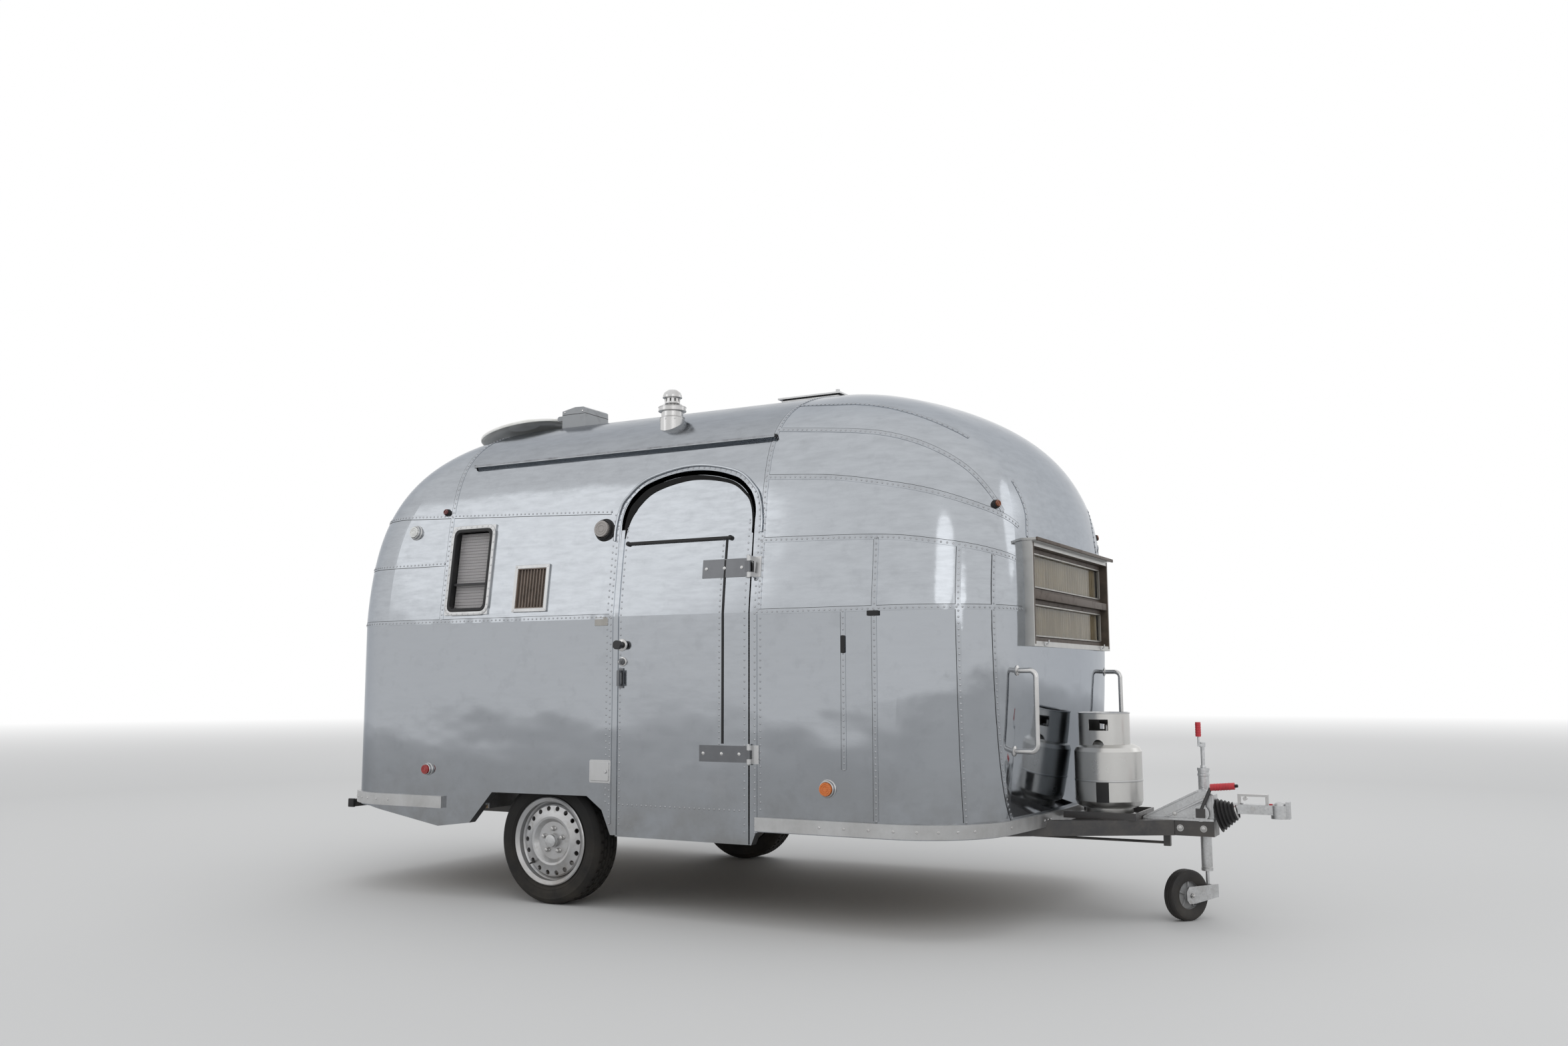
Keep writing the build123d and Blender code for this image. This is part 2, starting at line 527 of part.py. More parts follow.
# Gas bottle and tray
bz = 478
bottle = [(0, bz - 36), (106, bz - 36), (106, bz), (122, bz), (BOTTLE_R - 8, bz + 10), (BOTTLE_R, bz + 30),
          (BOTTLE_R, 728), (BOTTLE_R - 9, 746), (118, 759), (60, 764), (0, 764)]
face = Face(Wire.make_polygon([(BOTTLE_X + r, 0, z) for r, z in bottle], close=True))
tank = Solid.revolve(face, 360, Axis((BOTTLE_X, 0, 0), (0, 0, 1)))
cx = BOTTLE_X - 14
collar = post(cx, 0, 752, 901, 115) - post(cx, 0, 745, 910, 111)
collar -= Pos(cx, 0, 848) * Rot(0, 0, 1) * Box(88, 400, 50)
collar -= rod((cx, -200, 756), (cx, 200, 756), 26)
valve = post(BOTTLE_X, 0, 755, 820, 18)
keep("gas_bottle", tank + collar + valve)
tray = box(BOTTLE_X - 165, BOTTLE_X + 160, -172, 172, RAIL_Z1, RAIL_Z1 + 6)
tray += box(BOTTLE_X + 154, BOTTLE_X + 160, -172, 172, RAIL_Z1, RAIL_Z1 + 30)
for side, name in SIDES:
    tray += box(BOTTLE_X - 165, BOTTLE_X + 160, side * 169 - 3, side * 169 + 3, RAIL_Z1, RAIL_Z1 + 30)
keep("bottle_tray", tray - outer_low - band(*FRONT_STRIP))

# Overrun hitch
hx = HITCH_X
bracket = box(hx + 135, hx + 305, -58, 58, RAIL_Z0, RAIL_Z1)
keep("hitch_bracket", bracket)
housing = prism_y([(hx, 436), (hx, 448), (hx + 235, 568), (hx + 272, 568), (hx + 305, 548), (hx + 305, 436)],
                  -42, 42)
housing += box(hx, hx + 305, -62, 62, 436, 446)
keep("overrun_housing", housing)
drawtube = rod((hx + 305, 0, COUPLING_Z), (hx + 420, 0, COUPLING_Z), 24)
rings = [(0, 0), (0, 58)]
for i in range(6):
    rings.append((3 + i * 14.5, 76 - i * 7))
    rings.append((10 + i * 14.5, 62 - i * 6))
rings += [(90, 32), (90, 0)]
face = Face(Wire.make_polygon([(x, 0, r) for x, r in rings], close=True))
gaiter = Solid.revolve(face, 360, Axis((0, 0, 0), (1, 0, 0)))
gaiter = Pos(hx + 312, 0, 460) * Rot(0, -15, 0) * gaiter
gaiter = gaiter - drawtube - box(0, hx + 305, -200, 200, 300, 600) - box(hx + 398, FAR, -200, 200, 300, 600)
keep("bellows", gaiter)
head = box(hx + 400, COUPLING_X, -28, 28, 472, 512) + post(COUPLING_X, 0, 456, 512, 38)
head += Pos(COUPLING_X, 0, 494) * Sphere(34) + box(COUPLING_X + 26, NOSE_X, -22, 22, 456, 528)
head -= post(COUPLING_X, 0, 450, 486, 25.5)
head -= box(-FAR, FAR, -FAR, FAR, 0, 456)
keep("coupling_head", head + drawtube)
lever = box(hx + 400, hx + 525, -16, 16, 546, 556) + box(hx + 515, hx + 525, -16, 16, 508, 556)
lever += box(hx + 400, hx + 410, -16, 16, 508, 556)
keep("coupling_lever", lever - head - drawtube)
brake = rod((hx + 250, -58, 478), (hx + 296, -58, 580), 8) + box(hx + 230, hx + 270, -66, -42, 450, 490)
keep("handbrake_lever", brake - housing - bracket - rod((hx + 296, -58, 583), (hx + 398, -58, 592), 15))
keep("handbrake_grip", rod((hx + 296, -58, 583), (hx + 398, -58, 592), 15))
linkage = rod((TUBE_X + 35, 0, 330), (DRAWBAR_TIP_X - 40, 0, 330), 6)
linkage += box(DRAWBAR_TIP_X - 60, DRAWBAR_TIP_X - 30, -12, 12, 316, RAIL_Z0)
keep("brake_rod", linkage)

# Jockey wheel
jx = JOCKEY_X
jy = JOCKEY_Y
clamp = box(jx - 32, jx + 32, 42, jy + 30, 462, 512) - post(jx, jy, 400, 600, 24)
keep("jockey_clamp", clamp - housing)
tube = post(jx, jy, 205, 657, 24) - post(jx, jy, 190, 640, 20)
tube += post(jx, jy, 645, 657, 27) + post(jx, jy, 655, 760, 9)
tube += box(jx - 9, jx + 9, jy - 70, jy + 9, 754, 764) + post(jx - 4, jy - 62, 760, 808, 5)
grip = post(jx - 4, jy - 62, 798, 862, 12)
keep("jockey_tube", tube - grip)
keep("jockey_grip", grip)
stem = post(jx, jy, 206, 610, 19.95) + post(jx, jy, 100, 208, 8)
keep("jockey_stem", stem)

turn = radians(180 + JOCKEY_TURN)
tx = cos(turn)
ty = sin(turn)
place = Plane(origin=(jx, jy, 0), x_dir=(tx, ty, 0), z_dir=(0, 0, 1))
cheek = [(-24, 149), (-24, 94), (112, 76), (150, 76), (164, 94), (164, 130), (150, 149)]
fork = prism_y(cheek, -39, -34) + prism_y(cheek, 34, 39)
fork += box(-24, 8, -39, 39, 141, 149) + box(-24, -19, -39, 39, 96, 149) + post(0, 0, 96, 149, 15)
fork -= post(0, 0, 90, 200, 8.05)
fork += disc(JOCKEY_TRAIL, -43, 43, JOCKEY_R, 8)
keep("jockey_fork", (place.location * fork))
roller = disc(JOCKEY_TRAIL, -29, 29, JOCKEY_R, JOCKEY_R) - disc(JOCKEY_TRAIL, -30, 30, JOCKEY_R, 8.05)
keep("jockey_wheel", (place.location * roller))

# Roof: vent lid on its rear hinge, flue and folded dish
lid_pin_x = LID_X - LID_HALF - 12
lid_pin_z = CROWN_Z + 14
rim_box = box(LID_X - 165, LID_X + 165, -165, 165, CROWN_Z - 60, CROWN_Z + 2)
rim_box -= box(LID_X - 150, LID_X + 150, -150, 150, CROWN_Z - 100, CROWN_Z + 50)
seat = box(lid_pin_x - 10, LID_X - 160, -62, 62, CROWN_Z - 4, CROWN_Z + 3) - outer_up
for side, name in SIDES:
    y0, y1 = sorted((side * 46, side * 60))
    seat += box(lid_pin_x - 7, lid_pin_x + 7, y0, y1, CROWN_Z + 1, lid_pin_z)
    seat += disc(lid_pin_x, y0, y1, lid_pin_z, 7)
seat += disc(lid_pin_x, -50, 50, lid_pin_z, 4)
keep("roof_vent_frame", rim_box + seat)
lid = box(LID_X - LID_HALF, LID_X + LID_HALF, -LID_HALF, LID_HALF, CROWN_Z + 8, CROWN_Z + 16)
lid += box(lid_pin_x, LID_X - LID_HALF + 2, -44, 44, CROWN_Z + 8, CROWN_Z + 16)
lid += disc(lid_pin_x, -44, 44, lid_pin_z, 8)
lid += post(LID_X + LID_HALF - 20, 20 - LID_HALF, CROWN_Z + 14, CROWN_Z + 30, 11)
keep("roof_vent_lid", lid - disc(lid_pin_x, -60, 60, lid_pin_z, 4.05))
fx = FLUE["x"]
fy = FLUE["y"]
funnel = [(0, 2200), (61, 2200), (61, 2347), (54, 2351), (54, 2375), (68, 2377), (68, 2400), (60, 2404),
          (38, 2418), (36, 2446), (47, 2446), (47, 2458), (41, 2472), (24, 2485), (0, 2489)]
face = Face(Wire.make_polygon([(fx + r, fy, z) for r, z in funnel], close=True))
flue = Solid.revolve(face, 360, Axis((fx, fy, 0), (0, 0, 1)))
keep("flue", flue - outer_up)
d = DISH
pin_x = DISH_PIN_X
pin_z = 2500
base = prism_y([(AXLE_X - 418, 2380), (AXLE_X - 418, 2529), (AXLE_X - 331, 2546), (AXLE_X - 275, 2544),
                (AXLE_X - 263, 2536), (AXLE_X - 258, 2380)], d["y"] - 80, d["y"] + 130) - outer_up
for side, name in SIDES:
    y0, y1 = sorted((d["y"] + side * 28, d["y"] + side * 40))
    base += box(pin_x, AXLE_X - 410, y0, y1, pin_z - 13, pin_z + 13) + disc(pin_x, y0, y1, pin_z, 13)
base += disc(pin_x, d["y"] - 30, d["y"] + 30, pin_z, 8)
keep("dish_base", base)
shell = [(0, 52), (90, 46), (172, 28), (d["r"], 2), (d["r"], -12), (d["r"] - 8, -12), (169, 19), (89, 39),
         (0, 45)]
face = Face(Wire.make_polygon([(r, 0, z) for r, z in shell], close=True))
bowl = Solid.revolve(face, 360, Axis((0, 0, 0), (0, 0, 1)))
bowl = Pos(d["x"], d["y"], d["z"]) * Rot(0, -d["tilt"], 0) * Rot(d["roll"], 0, 0) * bowl
arm = box(pin_x - 62, pin_x, d["y"] - 24, d["y"] + 24, pin_z - 10, pin_z + 8)
arm += disc(pin_x, d["y"] - 24, d["y"] + 24, pin_z, 15)
keep("sat_dish", bowl + arm - disc(pin_x, d["y"] - 60, d["y"] + 60, pin_z, 8.05))

os.makedirs("parts", exist_ok=True)
for name, shape in PARTS.items():
    export_step(shape, f"parts/{name}.step")
    print(name, len(shape.solids()), round(shape.volume / 1e9, 5), shape.is_valid)
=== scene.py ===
"""Dresses the travel caravan: riveted seams, trims, tyres, fittings, finishes and a plain stage."""

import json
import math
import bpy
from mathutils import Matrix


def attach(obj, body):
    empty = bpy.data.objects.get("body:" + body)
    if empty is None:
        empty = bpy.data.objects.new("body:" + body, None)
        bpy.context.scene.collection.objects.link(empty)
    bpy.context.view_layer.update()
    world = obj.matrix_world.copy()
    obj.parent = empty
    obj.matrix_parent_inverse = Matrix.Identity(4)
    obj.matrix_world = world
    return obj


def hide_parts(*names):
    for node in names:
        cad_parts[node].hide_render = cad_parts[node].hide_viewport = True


bl_info = {
    "name": "Travel caravan dressing",
    "version": (1, 0, 0),
    "blender": (4, 5, 0),
    "location": "3D View > Sidebar > Caravan",
    "description": "Seams, rivets, fittings, finishes and a plain stage for the travel caravan",
    "category": "Object",
}

from functools import reduce

import bpy
from bpy.props import FloatProperty, FloatVectorProperty, IntProperty, PointerProperty
from mathutils import Matrix, Vector
from mathutils.bvhtree import BVHTree

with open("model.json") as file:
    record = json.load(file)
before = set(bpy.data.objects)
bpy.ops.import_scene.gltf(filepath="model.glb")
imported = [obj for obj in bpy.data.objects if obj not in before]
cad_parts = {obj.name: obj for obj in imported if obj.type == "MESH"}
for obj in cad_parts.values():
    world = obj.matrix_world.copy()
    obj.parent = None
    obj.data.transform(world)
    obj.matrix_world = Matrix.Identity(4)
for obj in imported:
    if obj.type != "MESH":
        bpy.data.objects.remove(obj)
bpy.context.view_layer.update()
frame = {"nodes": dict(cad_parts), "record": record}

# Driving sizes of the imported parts, in metres. Stations along the body are measured from the axle, and
# OUTSIDE is farther out than any part of the body.
AXLE_X = -0.856
CABIN_X = 0.42
FRONT_X = AXLE_X + 2.299
BELT_Z = 1.353
CROWN_Z = 2.5
HALF_WIDTH = 1.05
LEAN_SHARE = 0.126
WHEEL_Y = 0.905
TYRE_RADIUS = 0.295
JOCKEY_TURN = 56
OUTSIDE = 6
SIDES = ((-1, "right"), (1, "left"))
SHELL = ("lower_front_cap", "lower_rear_cap", "lower_left_wall", "lower_right_wall_rear",
         "lower_right_wall_front", "upper_left_wall", "upper_right_wall", "roof_panel", "front_cap_centre",
         "front_cap_sides", "rear_caps")
FINISH = {}


def length(name, description, default):
    return FloatProperty(name=name, description=description, default=default, unit="LENGTH")


def colour(name, description, default):
    return FloatVectorProperty(name=name, description=description, default=default, size=3, subtype="COLOR")


class CaravanSizes(bpy.types.PropertyGroup):
    """Sizes of the small parts that are added to the body"""

    rivet_radius: length("Rivet radius", "Radius of a rivet head", 0.0048)
    rivet_height: length("Rivet height", "Height of a rivet head", 0.0023)
    rivet_pitch: length("Rivet pitch", "Distance from rivet to rivet", 0.0255)
    lap_width: length("Lap width", "Width of the lap at a sheet joint", 0.022)
    lap_rise: length("Lap rise", "Thickness of the lapped sheet", 0.0016)
    tread_depth: length("Tread depth", "Depth of the grooves in a road tyre", 0.007)
    pleats: IntProperty(name="Pleats", description="Number of pleats in the front curtain", default=34, min=6)


class CaravanColours(bpy.types.PropertyGroup):
    """Colours of the finishes"""

    sheet: colour("Polished sheet", "Colour of the body sheets", (0.43, 0.452, 0.48))
    sheet_dull: colour("Dulled sheet", "Colour of oxidised patches", (0.345, 0.362, 0.385))
    trim: colour("Trim", "Colour of the satin trim", (0.56, 0.565, 0.57))
    wheel: colour("Wheel paint", "Colour of the road wheels", (0.50, 0.505, 0.515))
    curtain: colour("Curtain", "Colour of the front curtain", (0.27, 0.195, 0.11))
    grip: colour("Grips", "Colour of the red grips", (0.45, 0.02, 0.03))
    floor: colour("Floor", "Colour of the stage floor", (0.50, 0.50, 0.495))


def sizes():
    return bpy.context.scene.caravan_sizes


def colours():
    return bpy.context.scene.caravan_colours


# Modelling helpers

def start():
    """Leaves edit mode with nothing selected."""
    if bpy.context.mode != "OBJECT":
        bpy.ops.object.mode_set(mode="OBJECT")
    bpy.ops.object.select_all(action="DESELECT")


def pick(obj):
    """Selects one object and makes it active."""
    start()
    bpy.context.view_layer.objects.active = obj
    obj.select_set(True)
    return obj


def apply_place(obj):
    """Puts the object's place into its mesh."""
    pick(obj)
    bpy.ops.object.transform_apply(location=True, rotation=True, scale=True)
    return obj


def moved(obj, matrix):
    """Moves all corners of an object's mesh."""
    obj.data.transform(matrix)
    return obj


def soften(obj, width, segments=2):
    """Bevels the sharp edges."""
    pick(obj)
    bpy.ops.object.modifier_add(type="BEVEL")
    bevel = obj.modifiers[-1]
    bevel.width = width
    bevel.segments = segments
    bevel.limit_method = "ANGLE"
    bevel.angle_limit = math.radians(35)
    bpy.ops.object.modifier_apply(modifier=bevel.name)
    return obj


def block(x0, x1, y0, y1, z0, z1, edge=0.002, segments=2):
    """Box between two corners with rounded edges."""
    start()
    bpy.ops.mesh.primitive_cube_add(size=1, location=((x0 + x1) / 2, (y0 + y1) / 2, (z0 + z1) / 2),
                                    scale=(abs(x1 - x0), abs(y1 - y0), abs(z1 - z0)))
    return soften(apply_place(bpy.context.object), edge, segments)


def turn_to(toward):
    """Turn that takes +Z to a direction."""
    return Vector((0, 0, 1)).rotation_difference(Vector(toward).normalized()).to_matrix().to_4x4()


def plan_way(turn):
    """Direction in plan at an angle."""
    return Vector((math.cos(turn), math.sin(turn), 0))


def turned(profile, centre, toward=(0, 0, 1), steps=32, ring=False):
    """Shape turned about an axis from (radius, height) pairs; a ring is open at the axis."""
    start()
    if ring:
        profile = [*profile, profile[0]]
    radius, height = profile[0]
    bpy.ops.mesh.primitive_circle_add(vertices=steps, radius=radius, location=(0, 0, height),
                                      fill_type="NOTHING" if ring else "NGON")
    obj = apply_place(bpy.context.object)
    bpy.ops.object.mode_set(mode="EDIT")
    bpy.ops.mesh.select_all(action="SELECT")
    extrude = bpy.ops.mesh.extrude_edges_move if ring else bpy.ops.mesh.extrude_region_move
    for (r0, h0), (r1, h1) in zip(profile, profile[1:]):
        extrude(TRANSFORM_OT_translate={"value": (0, 0, h1 - h0)})
        bpy.ops.transform.resize(value=(r1 / r0, r1 / r0, 1), center_override=(0, 0, 0))
    bpy.ops.mesh.select_all(action="SELECT")
    bpy.ops.mesh.remove_doubles(threshold=0.00001)
    bpy.ops.mesh.normals_make_consistent(inside=False)
    bpy.ops.object.mode_set(mode="OBJECT")
    return moved(obj, Matrix.Translation(Vector(centre)) @ turn_to(toward))


def both_sides(half):
    """Profile with its mirror image beyond the middle plane."""
    return [*half, *((radius, -height) for radius, height in reversed(half))]


def bead(inner, outer, centre, toward=(0, 0, 1), steps=32):
    """Raised ring from its (radius, half width) at the foot and at the top."""
    half = [(radius, -width) for radius, width in (inner, outer)]
    return turned(both_sides(half), centre, toward, steps, ring=True)


def pipe(points, radius, smooth=True):
    """Round bar along points."""
    start()
    curve = bpy.data.curves.new("route", "CURVE")
    curve.dimensions = "3D"
    curve.bevel_depth = radius
    curve.bevel_resolution = 3
    curve.resolution_u = 6
    curve.use_fill_caps = True
    spline = curve.splines.new("NURBS" if smooth else "POLY")
    spline.points.add(len(points) - 1)
    for slot, point in zip(spline.points, points):
        slot.co = (*point, 1)
    if smooth:
        spline.order_u = 3
        spline.use_endpoint_u = True
    obj = bpy.data.objects.new("route", curve)
    bpy.context.scene.collection.objects.link(obj)
    pick(obj)
    bpy.ops.object.convert(target="MESH")
    return bpy.context.object


def shape_of(corners, faces):
    """Object from corners and faces as they are."""
    mesh = bpy.data.meshes.new("shape")
    mesh.from_pydata([tuple(corner) for corner in corners], [], faces)
    mesh.update()
    obj = bpy.data.objects.new("shape", mesh)
    bpy.context.scene.collection.objects.link(obj)
    return obj


def raw(corners, faces):
    """Object from corners and faces, with its faces turned outwards."""
    obj = pick(shape_of(corners, faces))
    bpy.ops.object.mode_set(mode="EDIT")
    bpy.ops.mesh.select_all(action="SELECT")
    bpy.ops.mesh.normals_make_consistent(inside=False)
    bpy.ops.object.mode_set(mode="OBJECT")
    return obj


def tube(rings, closed=False):
    """Skin over a row of rings of as many corners each, capped at its ends or closed on itself."""
    count = len(rings[0])
    corners = [corner for ring in rings for corner in ring]
    total = len(corners)
    faces = []
    for base in range(0, total if closed else total - count, count):
        for k in range(count):
            j = (k + 1) % count
            faces.append((base + k, base + j, (base + count + j) % total, (base + count + k) % total))
    if not closed:
        faces += [tuple(range(count)), tuple(range(total - count, total))]
    return raw(corners, faces)


def plate(outline, thickness, centre, toward=(0, -1, 0), edge=0.001):
    """Flat upright plate from a closed outline of (across, up) pairs, its back at the centre point."""
    normal = Vector(toward).normalized()
    up = (Vector((0, 0, 1)) - normal * normal.z).normalized()
    across = up.cross(normal)
    rings = []
    for lift in (0, thickness):
        back = Vector(centre) + normal * lift
        rings.append([back + across * a + up * b for a, b in outline])
    return soften(tube(rings), edge, 1)


def rounded(width, height, radius, steps=5):
    """Outline of a rounded rectangle about its centre."""
    points = []
    for quarter, (sx, sy) in enumerate(((1, 1), (-1, 1), (-1, -1), (1, -1))):
        for i in range(steps + 1):
            turn = math.pi / 2 * (quarter + i / steps)
            points.append((sx * (width / 2 - radius) + radius * math.cos(turn),
                           sy * (height / 2 - radius) + radius * math.sin(turn)))
    return points


def loop_frame(x0, x1, z0, z1, width, y0, y1, radius):
    """Rounded rectangular ring between two depths."""
    outer = rounded(x1 - x0, z1 - z0, radius)
    inner = rounded(x1 - x0 - 2 * width, z1 - z0 - 2 * width, max(radius - width, 0.001))
    x, z = (x0 + x1) / 2, (z0 + z1) / 2
    rings = []
    for o, i in zip(outer, inner):
        rings.append([(x + a, y, z + b) for (a, b), y in ((o, y0), (o, y1), (i, y1), (i, y0))])
    return tube(rings, closed=True)


def copies(obj, places):
    """One object with a copy of a small mesh at each place; the model is removed."""
    corners, faces = [], []
    source = [v.co.copy() for v in obj.data.vertices]
    shapes = [tuple(p.vertices) for p in obj.data.polygons]
    for place in places:
        base = len(corners)
        corners += [place @ corner for corner in source]
        faces += [tuple(base + i for i in shape) for shape in shapes]
    bpy.data.objects.remove(obj)
    return shape_of(corners, faces)


def join(parts):
    """Joins the parts into the first of them."""
    start()
    for part in parts:
        part.select_set(True)
    bpy.context.view_layer.objects.active = parts[0]
    if len(parts) > 1:
        bpy.ops.object.join()
    return bpy.context.object


def finish(parts, name, slot, own=None, body="caravan", angle=32):
    """Makes one named piece of an object or a list, with its finish, riding on its body."""
    obj = join(parts) if isinstance(parts, list) else parts
    obj.name = name
    obj.data.name = name
    pick(obj)
    bpy.ops.object.shade_smooth_by_angle(angle=math.radians(angle))
    obj.data.materials.clear()
    obj.data.materials.append(FINISH[own or slot])
    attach(obj, body)
    return obj


# Paths on the skin, each a list of points with their normals

def tree_of(*names):
    """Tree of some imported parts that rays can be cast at."""
    corners, faces = [], []
    for name in names:
        mesh = frame["nodes"][name].data
        base = len(corners)
        corners += [v.co.copy() for v in mesh.vertices]
        faces += [[base + i for i in p.vertices] for p in mesh.polygons]
    return BVHTree.FromPolygons(corners, faces)


SKIN = tree_of(*SHELL)
LEAF = tree_of("door_leaf")


def at(x, y, z):
    """Point whose x is given from the axle."""
    return Vector((AXLE_X + x, y, z))


def cast(tree, target, origin):
    """Point and normal where a ray from the origin towards the target first meets the tree."""
    direction = (target - origin).normalized()
    spot, normal, _, _ = tree.ray_cast(origin, direction)
    if spot is None:
        spot, normal, _, _ = tree.find_nearest(target)
    return spot, (normal if normal.dot(direction) < 0 else -normal)


def wall_spot(x, z, side=-1, tree=SKIN):
    """Point and normal of a side wall at a station and a height."""
    return cast(tree, at(x, 0, z), at(x, side * OUTSIDE, z))


def upright(x, z0, z1, side=-1, tree=SKIN, count=40):
    """Straight path up a side wall at one station."""
    return [wall_spot(x, z0 + (z1 - z0) * i / count, side, tree) for i in range(count + 1)]


def along(z, x0, x1, side=-1, tree=SKIN, count=60):
    """Straight path along a side wall at one height."""
    return [wall_spot(x0 + (x1 - x0) * i / count, z, side, tree) for i in range(count + 1)]


def around(hub, a0, a1, first, second, count):
    """Path where rays that turn about a hub, in the plane of two directions, leave the body."""
    spots = []
    for i in range(count + 1):
        turn = a0 + (a1 - a0) * i / count
        ray = Vector(first) * math.cos(turn) + Vector(second) * math.sin(turn)
        spots.append(cast(SKIN, hub, hub + ray * OUTSIDE))
    return spots


def level(z, start_xy, end_xy):
    """Path round the body at one height, from one plan direction to another."""
    a0 = math.atan2(start_xy[1], start_xy[0] - CABIN_X)
    a1 = math.atan2(end_xy[1], end_xy[0] - CABIN_X)
    if abs(a1 - a0) > math.pi:
        a1 += 2 * math.pi if a1 < a0 else -2 * math.pi
    return around(at(CABIN_X, 0, z), a0, a1, (1, 0, 0), (0, 1, 0), 160)


def hoop(x, lift=0.01):
    """Path over the body at one station, from just above the belt on the right to the same on the left."""
    return around(at(x, 0, BELT_Z), math.atan2(lift, -1), math.atan2(lift, 1), (0, 1, 0), (0, 0, 1), 120)


def curve_through(knots, per_run):
    """Smooth run of points through a few knots."""
    knots = [knots[0] * 2 - knots[1], *knots, knots[-1] * 2 - knots[-2]]
    spots = []
    for p0, p1, p2, p3 in zip(knots, knots[1:], knots[2:], knots[3:]):
        for step in range(per_run):
            t = step / per_run
            spots.append(0.5 * ((2 * p1) + (p2 - p0) * t + (2 * p0 - 5 * p1 + 4 * p2 - p3) * t * t
                                + (3 * p1 - p0 - 3 * p2 + p3) * t ** 3))
    return [*spots, knots[-2]]


def bend(points, mirror=False):
    """Smooth path through a few points, snapped to the skin."""
    knots = [at(x, -y if mirror else y, z) for x, y, z in points]
    inside = at(CABIN_X, 0, 1.3)
    snapped = []
    for spot in curve_through(knots, 30):
        near, normal, _, _ = SKIN.find_nearest(spot)
        snapped.append((near, normal if normal.dot(spot - inside) > 0 else -normal))
    return snapped


def spaced(path, pitch):
    """The path at equal steps."""
    lengths = [0.0]
    for (a, _), (b, _) in zip(path, path[1:]):
        lengths.append(lengths[-1] + (b - a).length)
    count = max(2, round(lengths[-1] / pitch))
    made, j = [], 0
    for i in range(count + 1):
        want = lengths[-1] * i / count
        while j < len(lengths) - 2 and lengths[j + 1] < want:
            j += 1
        run = lengths[j + 1] - lengths[j] or 1e-9
        t = min(max((want - lengths[j]) / run, 0), 1)
        a, b = path[j], path[j + 1]
        made.append((a[0].lerp(b[0], t), a[1].lerp(b[1], t).normalized()))
    return made


def sideways(path, index):
    """Direction on the skin across a path at one of its points."""
    before = path[max(index - 1, 0)][0]
    after = path[min(index + 1, len(path) - 1)][0]
    return (after - before).normalized().cross(path[index][1]).normalized()


def lap(path, width, rise, shift=0.0, sink=0.002, step=0.02):
    """Thin strip of sheet along a path."""
    path = spaced(path, step)
    section = ((-width / 2, -sink), (-width / 2, rise), (width / 2, rise), (width / 2, -sink))
    rings = []
    for i, (spot, normal) in enumerate(path):
        across = sideways(path, i)
        rings.append([spot + across * (a + shift) + normal * b for a, b in section])
    return tube(rings)


def rivet():
    """Domed rivet head of a few faces."""
    radius, height = sizes().rivet_radius, sizes().rivet_height
    return turned([(radius, -0.001), (radius, height * 0.35), (radius * 0.72, height * 0.85),
                   (radius * 0.25, height)], (0, 0, 0), steps=8)


def rivet_places(path, pitch, lift=0.0, shift=0.0):
    """Places of the rivets along a path, each upright on the skin."""
    places = []
    path = spaced(path, pitch)
    for i, (spot, normal) in enumerate(path):
        across = sideways(path, i)
        turn = Matrix((across, normal.cross(across), normal)).transposed().to_4x4()
        places.append(Matrix.Translation(spot + across * shift + normal * lift) @ turn)
    return places


# Seams of the end caps, as stations from the axle, distances to the side and heights
GORES = (
    ((1.192, -0.654, 2.349), (1.575, -0.733, 2.301), (1.956, -0.750, 2.165), (2.239, -0.563, 1.843),
     (2.262, -0.560, 1.675)),
    ((1.190, -0.862, 2.200), (1.680, -0.905, 2.135), (2.079, -0.847, 1.963), (2.198, -0.738, 1.764)),
    ((1.180, -0.969, 1.964), (1.526, -0.975, 1.935), (1.847, -0.985, 1.875), (2.110, -0.891, 1.799),
     (2.254, -0.640, 1.714)),
    ((1.181, -1.013, 1.674), (1.724, -1.015, 1.659), (1.997, -0.993, 1.629), (2.181, -0.855, 1.595),
     (2.247, -0.692, 1.566)),
)
REAR_SEAM = ((0.345, -0.989, 1.857), (0.117, -0.987, 1.868), (-0.304, -0.984, 1.885), (-0.730, -0.981, 1.902),
             (-0.997, -0.976, 1.912))


